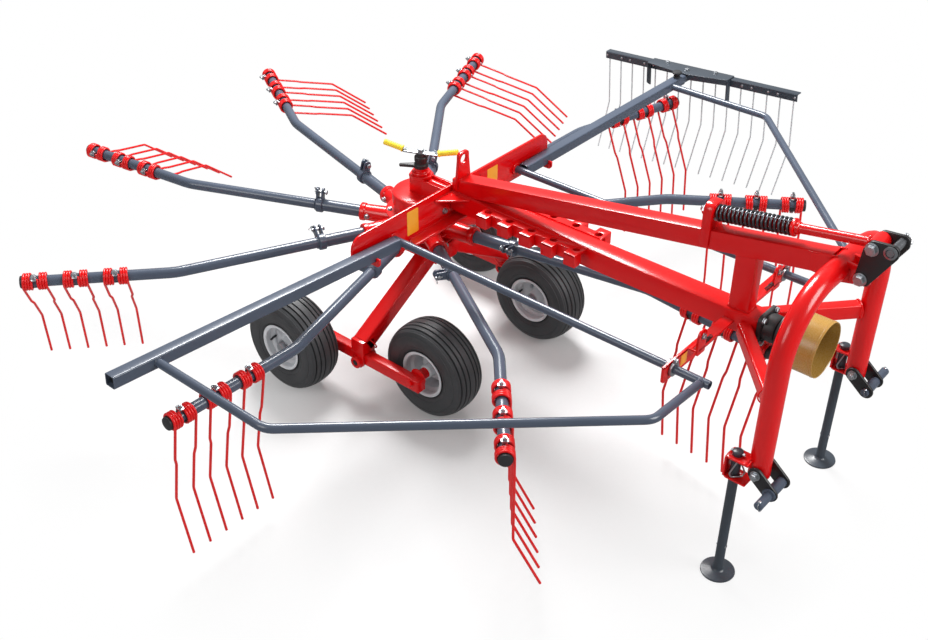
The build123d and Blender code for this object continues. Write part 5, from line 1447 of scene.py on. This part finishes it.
def draw_guard_hole_shade(mesh):
    """Black disc inside the raised edge of the guard's access hole: painted shade standing in for the open
    hole.
    """
    turned(mesh, (89.2, BEAM_FRONT_Y - 180, DRIVE_Z), X, [
        (1, 0), (8.2, 0), (8.2, 1.2), (1, 1.2),
    ], sides=24, closed=True)


def make_drive():
    build("drive_shaft_looks", "drive", LOOKS["bright"], draw_shaft, ["drive_shaft"])
    build("bearing_looks", "frame", LOOKS["cast"], draw_bearing, ["bearing_housing"])
    build("bearing_bolts", "frame", LOOKS["zinc"], draw_bearing_bolts)
    build("drive_guard_looks", "frame", LOOKS["ochre"], draw_drive_guard, ["pto_guard"])
    build("drive_guard_base", "frame", LOOKS["cap"], draw_guard_base)
    # Black disc in the guard's access hole: painted shade for the hole's inside
    build("drive_guard_hole_shade", "frame", LOOKS["cap"], draw_guard_hole_shade)


# Front stay


def draw_stay(mesh):
    """Folded bar across the beam with its lip, which stops short of the ends, slots and latch plates."""
    for side in (-1, 1):
        inner = side * 40.4
        outer = side * STAY_HALF
        lip_end = side * STAY_LIP_HALF
        mid = (inner + outer) / 2
        half = abs(outer - inner) / 2
        plate(mesh, (mid, STAY_Y, 0), X, Z, soften([
            (-half, 631), (half, 631), (half, 689.4), (-half, 689.4),
        ], [10 if side < 0 else 1, 10 if side > 0 else 1, 1, 1]), 8, holes=[
            circle(14, 24, side * HINGE_X - mid, HINGE_Z),
            slot((side * 150 - mid, 655), (side * 172 - mid, 655), 6),
        ])
        lip = [(inner, -19), (lip_end, -19), (lip_end, 11), (outer, 11), (outer, 19), (inner, 19)]
        lip = [(x - mid, y) for x, y in lip]
        corners = [1, 10, 4, 1, 1, 1]
        if side < 0:
            lip.reverse()
            corners.reverse()
        plate(mesh, (mid, STAY_Y - 15, 687), X, Y, soften(lip, corners), 6,
              holes=[slot((side * 225 - mid - 18, -4), (side * 225 - mid + 18, -4), 5)])
        x = side * LATCH_X
        plate(mesh, (x, -1312, 0), X, Z, soften([
            (-22, 669), (22, 669), (22, 756), (-22, 756),
        ], [6, 6, 21, 21]), 8, holes=[circle(6.5, 20, 0, LATCH_EYE_Z)])
        weld(mesh, [(x - 20, -1307, 691), (x + 20, -1307, 691)], 2.2)


def draw_stay_rings(mesh):
    """Ring clamps round the hinge tubes, each with a bolted tab."""
    for side in (-1, 1):
        x = side * HINGE_X
        for y in (STAY_Y - 9, STAY_Y + 9):
            turned(mesh, (x, y - 4, HINGE_Z), Y, [
                (13.7, 0), (23, 0), (24, 1), (24, 7), (23, 8), (13.7, 8),
            ], sides=36, closed=True)
        box(mesh, (x - 8, STAY_Y - 13, HINGE_Z + 20), (x + 8, STAY_Y - 5, HINGE_Z + 38), 2)
        bolt(mesh, (x, STAY_Y - 13, HINGE_Z + 30), -Y, 8)
        bolt(mesh, (side * LATCH_X, -1316.2, LATCH_EYE_Z), -Y, 10)


def draw_latch_springs(mesh):
    for side in (-1, 1):
        start = Vector((side * 165, -1310, 697))
        points = []
        for k in range(151):
            t = k / 150
            spin = math.tau * 10 * t
            points.append(start + X * side * (48 * t) + Y * 5 * math.cos(spin) + Z * 5 * math.sin(spin))
        sweep(mesh, points, circle(1.1, 8), hint=Y)


def make_stay():
    build("front_stay_looks", "frame", LOOKS["red"], draw_stay, ["front_stay"])
    build("hinge_ring_clamps", "frame", LOOKS["zinc"], draw_stay_rings)
    build("latch_springs", "frame", LOOKS["black"], draw_latch_springs)


# Guards and curtain


def guard_point(name, x, y, z=0.0):
    """Point in the tilted plane of a guard: distance from the middle, place along Y, height over its axis."""
    side = SIDES[name]
    tilt = math.radians(GUARD_TILTS[name])
    reach = abs(x) - HINGE_X
    return Vector((
        side * (HINGE_X + reach * math.cos(tilt) - z * math.sin(tilt)), y,
        HINGE_Z + reach * math.sin(tilt) + z * math.cos(tilt),
    ))


def draw_guard(mesh, name):
    """Hinge tube, square tube and round hoop of one guard."""
    end = GUARD_ENDS[name]
    side = SIDES[name]
    hinge = side * HINGE_X
    rod(mesh, (hinge, CROSS_Y, HINGE_Z), (hinge, -1412, HINGE_Z), HINGE_R, sides=32, bore=10.5)
    root = guard_point(name, HINGE_X + 13, GUARD_Y)
    bar(mesh, root, guard_point(name, end, GUARD_Y), 40, 40, 5, hint=Y, bore=3)
    ring_weld(mesh, guard_point(name, HINGE_X + 13.5, GUARD_Y), X, 21, 2.2)
    line = [
        guard_point(name, 1350, GUARD_Y - 18), guard_point(name, 1350, -665), guard_point(name, 590, -1385),
        guard_point(name, HINGE_X, -1385),
    ]
    pipe(mesh, line, HINGE_R, 60, sides=32)
    ring_weld(mesh, guard_point(name, 1350, GUARD_Y - 21), Y, 14, 2.4)
    ring_weld(mesh, guard_point(name, HINGE_X + 14, -1385), X, 13.5, 2.2)


def draw_tube_end_shade(mesh):
    """Black plate set back in the open end of the right guard's tube: painted shade inside the tube."""
    tip = guard_point("right", GUARD_ENDS["right"], GUARD_Y)
    away = (tip - guard_point("right", 1000, GUARD_Y)).normalized()
    plate(mesh, tip - away * 17, Y, away.cross(Y), rectangle(33.6, 33.6, 2), 6, bevel=1)


def draw_knob(mesh):
    """Knob that clamps the curtain's arm in the left guard's tube."""
    spot = Vector((1405, GUARD_Y, HINGE_Z + 20))
    turned(mesh, spot, Z, [(7, 0), (14, 0), (14, 8), (9, 10)], sides=24)
    turned(mesh, spot + Z * 16, Z, [(6, -8), (6, 0), (20, 2), (21, 8), (17, 12), (4, 13)], sides=10)


def curtain_frame():
    """Origin, Y and Z of the curtain's tipped frame."""
    turn = Matrix.Rotation(CURTAIN_TILT, 3, "X")
    return Vector((CURTAIN_X, GUARD_Y, HINGE_Z)), turn @ Y, turn @ Z


def curtain_places():
    """Places of the curtain's tines along its bar."""
    middle = (CURTAIN_TINES - 1) / 2
    return [CURTAIN_SHIFT + (index - middle) * CURTAIN_PITCH for index in range(CURTAIN_TINES)]


def draw_curtain_arm(mesh):
    bar(mesh, (946, GUARD_Y, HINGE_Z), (1513.5, GUARD_Y, HINGE_Z), 33.4, 33.4, 3, hint=Y, bore=3)
    weld(mesh, [(1511, GUARD_Y - 16, HINGE_Z - 17), (1511, GUARD_Y + 16, HINGE_Z - 17)], 2.4)


def draw_curtain(mesh):
    """Angle bar and the folded head sheet over it."""
    base, y, z = curtain_frame()
    middle = base + y * CURTAIN_SHIFT + z * BAR_Z
    outline = [(-16, -16), (-12, -16), (-12, 9), (-9, 12), (16, 12), (16, 16), (-13, 16), (-16, 13)]
    plate(mesh, middle, X, z, outline, 949, bevel=0.5)
    head = base + z * 20.4
    plate(mesh, head, X, y, soften([
        (16, -200), (16, 200), (-46, 200), (-78, 20), (-78, -20), (-46, -200),
    ], [3, 3, 8, 20, 20, 8]), 5)
    edge = (X * 32 - y * 180).normalized()
    plate(mesh, base - X * 61 - y * 110 + z * 10, edge, z, rectangle(176, 24, 3), 4)
    for way in (-1, 1):
        plate(mesh, base + y * way * 197.5 + z * 20.4, X, z, soften([
            (-45.7, 0), (-16.5, 0), (-16.5, -113), (-45.7, -92),
        ], [3, 1, 3, 12]), 5)


def draw_curtain_tines(mesh, wire):
    """Cranked tines of the curtain, each with the clip that holds it in the bar."""
    base, y, z = curtain_frame()
    lean = math.radians(14)
    top = BAR_Z + 11.6
    for along in curtain_places():
        foot = base + y * along + X * -8.6
        line = [
            foot + z * top, foot + z * (top - 235),
            foot + z * (top - 235 - 250 * math.cos(lean)) + y * 250 * math.sin(lean),
        ]
        pipe(mesh, line, wire, 26, sides=10, chamfer=1)
        plate(mesh, foot + z * (BAR_Z - 4) - X * 0.2, y, z, rectangle(14, 20, 2), 6.6)


def draw_curtain_bolts(mesh):
    base, y, z = curtain_frame()
    for index, along in enumerate(curtain_places()):
        spot = base + y * (along + (9 if index % 2 else -7)) + z * (BAR_Z - 1) - X * 16
        turned(mesh, spot, -X, [(5.6, 0), (5.4, 1.8), (3.6, 3.0), (0.6, 3.2)], sides=16)
    for way in (-1, 1):
        bolt(mesh, base + y * way * 120 + z * 22.9 - X * 4, z, 10)
    bolt(mesh, base + z * 22.9 - X * 40, z, 12)


def make_guards():
    for name in SIDES:
        body = "guard_" + name + "_frame"
        build("guard_looks_" + name, body, LOOKS["slate"], lambda m: draw_guard(m, name),
              ["guard_" + name])
    # Black plate in the open end of the right guard's tube: painted shade inside the tube
    build("guard_tube_end_shade", "guard_right_frame", LOOKS["cap"], draw_tube_end_shade)
    build("curtain_clamp_knob", "guard_left_frame", LOOKS["cap"], draw_knob)


def make_curtain(settings):
    wire = settings.curtain_wire * 1000
    build("curtain_arm_looks", "curtain", LOOKS["slate"], draw_curtain_arm, ["curtain_arm"])
    build("curtain_looks", "curtain", LOOKS["anthracite"], draw_curtain,
          ["curtain_bar", "curtain_head"])
    build("curtain_tine_looks", "curtain", LOOKS["wire"], lambda m: draw_curtain_tines(m, wire),
          ["curtain_tines"])
    build("curtain_bolts", "curtain", LOOKS["zinc"], draw_curtain_bolts)


# Floor, light and camera


CAMERA_AT = Vector((-2.856, -2.630, 2.786))  # metres from the origin
CAMERA_TURN = 49.675
CAMERA_DIP = 35.0
CAMERA_LENS = 46.72


def make_stage(settings):
    """Pale floor and world, three soft lamps, and the camera at the photograph's angle."""
    made, tree, shader = fresh("floor_matt_white_paper")
    place = node(tree, "TexCoord").outputs["Object"]
    fibre = node(tree, "TexNoise", {"Vector": place}, Scale=60.0, Detail=4.0)
    tone = node(tree, "Mix", {0: fibre.outputs["Fac"]}, data_type="RGBA")
    tone.inputs[6].default_value = linear("cfcfcf")
    tone.inputs[7].default_value = linear("d3d3d3")
    tree.links.new(tone.outputs[2], shader.inputs["Base Color"])
    shader.inputs["Roughness"].default_value = 0.9
    shader.inputs["Specular IOR Level"].default_value = 0.0
    glow = node(tree, "Emission", Color=(1, 1, 1, 1), Strength=1.0)
    seen = node(tree, "LightPath").outputs["Is Camera Ray"]
    away = node(tree, "VectorMath", {0: place}, operation="LENGTH").outputs["Value"]
    fade = node(tree, "MapRange", {0: away}, in_1=0.5, in_2=1.7, in_3=settings.floor_lift, in_4=1.0)
    share = node(tree, "Math", {0: seen, 1: fade.outputs[0]}, operation="MULTIPLY")
    mirrored = node(tree, "LightPath").outputs["Is Glossy Ray"]
    dim = node(tree, "Emission", Color=(1, 1, 1, 1), Strength=0.3)
    calm = node(tree, "MixShader", {0: mirrored, 1: shader.outputs[0], 2: dim.outputs[0]})
    blend = node(tree, "MixShader", {0: share.outputs[0], 1: calm.outputs[0], 2: glow.outputs[0]})
    tree.links.new(blend.outputs[0], tree.nodes["Material Output"].inputs[0])
    mesh = bmesh.new()
    bmesh.ops.create_circle(mesh, cap_ends=True, segments=64, radius=40.0)
    data = bpy.data.meshes.new("floor")
    mesh.to_mesh(data)
    mesh.free()
    data.materials.append(made)
    floor = bpy.data.objects.new("floor", data)
    bpy.context.scene.collection.objects.link(floor)
    world = bpy.data.worlds.new("studio")
    world.use_nodes = True
    tree = world.node_tree
    tree.nodes.clear()
    path = node(tree, "LightPath")
    rays = {0: path.outputs["Is Camera Ray"], 1: path.outputs["Is Transmission Ray"]}
    seen = node(tree, "Math", rays, operation="MAXIMUM")
    soft = node(tree, "Background", Color=(1, 1, 1, 1), Strength=settings.fill)
    white = node(tree, "Background", Color=(1, 1, 1, 1), Strength=1.0)
    blend = node(tree, "MixShader", {0: seen.outputs[0], 1: soft.outputs[0], 2: white.outputs[0]})
    node(tree, "OutputWorld", {0: blend.outputs[0]})
    bpy.context.scene.world = world
    for name, spot, size, power in (
        ("lamp_key", (1.8, 1.8, 4.3), 2.2, settings.key),
        ("lamp_front", (0.9, -4.6, 3.4), 2.6, settings.key * 0.38),
        ("lamp_side", (-4.6, 0.4, 3.4), 2.6, settings.key * 0.16),
    ):
        lamp = bpy.data.lights.new(name, "AREA")
        lamp.shape = "DISK"
        lamp.size = size
        lamp.energy = power
        holder = bpy.data.objects.new(name, lamp)
        holder.location = spot
        aim = Vector((0, 0, 0.5)) - Vector(spot)
        holder.rotation_euler = aim.to_track_quat("-Z", "Y").to_euler()
        bpy.context.scene.collection.objects.link(holder)
    lens = bpy.data.cameras.new("camera")
    lens.lens = CAMERA_LENS
    lens.sensor_width = 36.0
    lens.clip_end = 200.0
    holder = bpy.data.objects.new("camera", lens)
    turn = math.radians(CAMERA_TURN)
    dip = math.radians(CAMERA_DIP)
    view = Vector((math.sin(turn) * math.cos(dip), math.cos(turn) * math.cos(dip), -math.sin(dip)))
    right = view.cross(Z).normalized()
    level = Matrix((right, right.cross(view), -view)).transposed()
    roll = Matrix.Rotation(settings.roll, 3, "Z")
    holder.matrix_world = Matrix.Translation(CAMERA_AT + ORIGIN) @ (level @ roll).to_4x4()
    bpy.context.scene.collection.objects.link(holder)
    bpy.context.scene.camera = holder
    bpy.context.scene.view_settings.view_transform = "Standard"


# Panel and operators


def coat(label, place, code):
    """Colour setting whose default is an sRGB hex code."""
    return bpy.props.FloatVectorProperty(
        name=label, description="Colour of " + place, default=linear(code)[:3],
        min=0.0, max=1.0, subtype="COLOR")


class RakeSettings(bpy.types.PropertyGroup):
    red: coat("Red coat", "the beams, the hub, the headstock and the bogie", "d40105")
    red_light: coat("Red coat, clouds", "the lighter clouds in the red coat", "dc0408")
    slate: coat("Slate coat", "the arms and the guards", "434c5b")
    slate_light: coat("Slate coat, clouds", "the lighter clouds in the slate coat", "4e5767")
    grip: coat("Grips", "the moulded grips of the crank", "f4d71c")
    grip_light: coat("Grips, clouds", "the lighter clouds in the grips", "fae346")
    tine_wire: bpy.props.FloatProperty(
        name="Tine wire", description="Radius of the rotor's spring wire", default=0.00435,
        min=0.001, max=0.0045, precision=5, unit="LENGTH")
    curtain_wire: bpy.props.FloatProperty(
        name="Curtain wire", description="Radius of the curtain's spring wire", default=0.003,
        min=0.001, max=0.0035, precision=5, unit="LENGTH")
    fill: bpy.props.FloatProperty(
        name="Fill", description="Strength of the even light from all round", default=0.32, min=0.0)
    key: bpy.props.FloatProperty(
        name="Key", description="Power of the main lamp", default=430.0, min=0.0, unit="POWER")
    floor_lift: bpy.props.FloatProperty(
        name="Floor lift", description="Share of plain white in the floor as the camera sees it",
        default=0.10, min=0.0, max=1.0, subtype="FACTOR")
    roll: bpy.props.FloatProperty(
        name="Camera roll", description="Turn of the camera about its own line of sight",
        default=math.radians(0.208), subtype="ANGLE")


def run(operator, context, maker):
    """Makes the materials once and the operator's own pieces. What can't be made stops it with its error."""
    make_looks(context.scene.rake)
    maker()
    operator.report({"INFO"}, operator.bl_label + " built")
    return {"FINISHED"}


class RAKE_OT_stage(bpy.types.Operator):
    """Add the floor, the light and the camera"""
    bl_idname = "rake.stage"
    bl_label = "Stage"

    def execute(self, context):
        return run(self, context, lambda: make_stage(context.scene.rake))


class RAKE_OT_wheels(bpy.types.Operator):
    """Build tyres, rims and hub bolts"""
    bl_idname = "rake.wheels"
    bl_label = "Wheels"

    def execute(self, context):
        return run(self, context, make_wheels)


class RAKE_OT_bogie(bpy.types.Operator):
    """Build the legs and rocking beams that carry the wheels"""
    bl_idname = "rake.bogie"
    bl_label = "Bogie"

    def execute(self, context):
        return run(self, context, make_bogie)


class RAKE_OT_rotor(bpy.types.Operator):
    """Build the hub, the arms and their spring tines"""
    bl_idname = "rake.rotor"
    bl_label = "Rotor"

    def execute(self, context):
        return run(self, context, lambda: make_rotor(context.scene.rake))


class RAKE_OT_gear_case(bpy.types.Operator):
    """Build the gear case and its crank"""
    bl_idname = "rake.gear_case"
    bl_label = "Gear case"

    def execute(self, context):
        return run(self, context, make_case)


class RAKE_OT_beams(bpy.types.Operator):
    """Build the cross beam and the two long beams"""
    bl_idname = "rake.beams"
    bl_label = "Beams"

    def execute(self, context):
        return run(self, context, make_beams)


class RAKE_OT_headstock(bpy.types.Operator):
    """Build the headstock, the top link rocker and the damper"""
    bl_idname = "rake.headstock"
    bl_label = "Headstock"

    def execute(self, context):
        return run(self, context, make_headstock)


class RAKE_OT_hitch(bpy.types.Operator):
    """Build the lower hitch and the stands"""
    bl_idname = "rake.hitch"
    bl_label = "Lower hitch and stands"

    def execute(self, context):
        return run(self, context, make_hitch)


class RAKE_OT_drive(bpy.types.Operator):
    """Build the drive shaft, its bearing and its guard"""
    bl_idname = "rake.drive"
    bl_label = "Drive"

    def execute(self, context):
        return run(self, context, make_drive)


class RAKE_OT_stay(bpy.types.Operator):
    """Build the front stay with its ring clamps and latches"""
    bl_idname = "rake.stay"
    bl_label = "Front stay"

    def execute(self, context):
        return run(self, context, make_stay)


class RAKE_OT_guards(bpy.types.Operator):
    """Build the two guard frames"""
    bl_idname = "rake.guards"
    bl_label = "Guards"

    def execute(self, context):
        return run(self, context, make_guards)


class RAKE_OT_curtain(bpy.types.Operator):
    """Build the swath curtain"""
    bl_idname = "rake.curtain"
    bl_label = "Swath curtain"

    def execute(self, context):
        return run(self, context, lambda: make_curtain(context.scene.rake))


OPERATORS = (
    RAKE_OT_stage, RAKE_OT_wheels, RAKE_OT_bogie, RAKE_OT_rotor, RAKE_OT_gear_case, RAKE_OT_beams,
    RAKE_OT_headstock, RAKE_OT_hitch, RAKE_OT_drive, RAKE_OT_stay, RAKE_OT_guards, RAKE_OT_curtain,
)


class RAKE_PT_panel(bpy.types.Panel):
    """Lists the settings and the steps"""
    bl_idname = "RAKE_PT_panel"
    bl_label = "Rotary hay rake"
    bl_space_type = "VIEW_3D"
    bl_region_type = "UI"
    bl_category = "Rake"

    def draw(self, context):
        for key in RakeSettings.__annotations__:
            self.layout.prop(context.scene.rake, key)
        for operator in OPERATORS:
            self.layout.operator(operator.bl_idname)


def register():
    for item in (RakeSettings, *OPERATORS, RAKE_PT_panel):
        bpy.utils.register_class(item)
    bpy.types.Scene.rake = bpy.props.PointerProperty(type=RakeSettings)


def unregister():
    del bpy.types.Scene.rake
    for item in reversed((RakeSettings, *OPERATORS, RAKE_PT_panel)):
        bpy.utils.unregister_class(item)


def main():
    register()
    for step in (
        bpy.ops.rake.stage, bpy.ops.rake.wheels, bpy.ops.rake.bogie, bpy.ops.rake.rotor,
        bpy.ops.rake.gear_case, bpy.ops.rake.beams, bpy.ops.rake.headstock, bpy.ops.rake.hitch,
        bpy.ops.rake.drive, bpy.ops.rake.stay, bpy.ops.rake.guards, bpy.ops.rake.curtain,
    ):
        step()


if __name__ == "__main__":
    main()
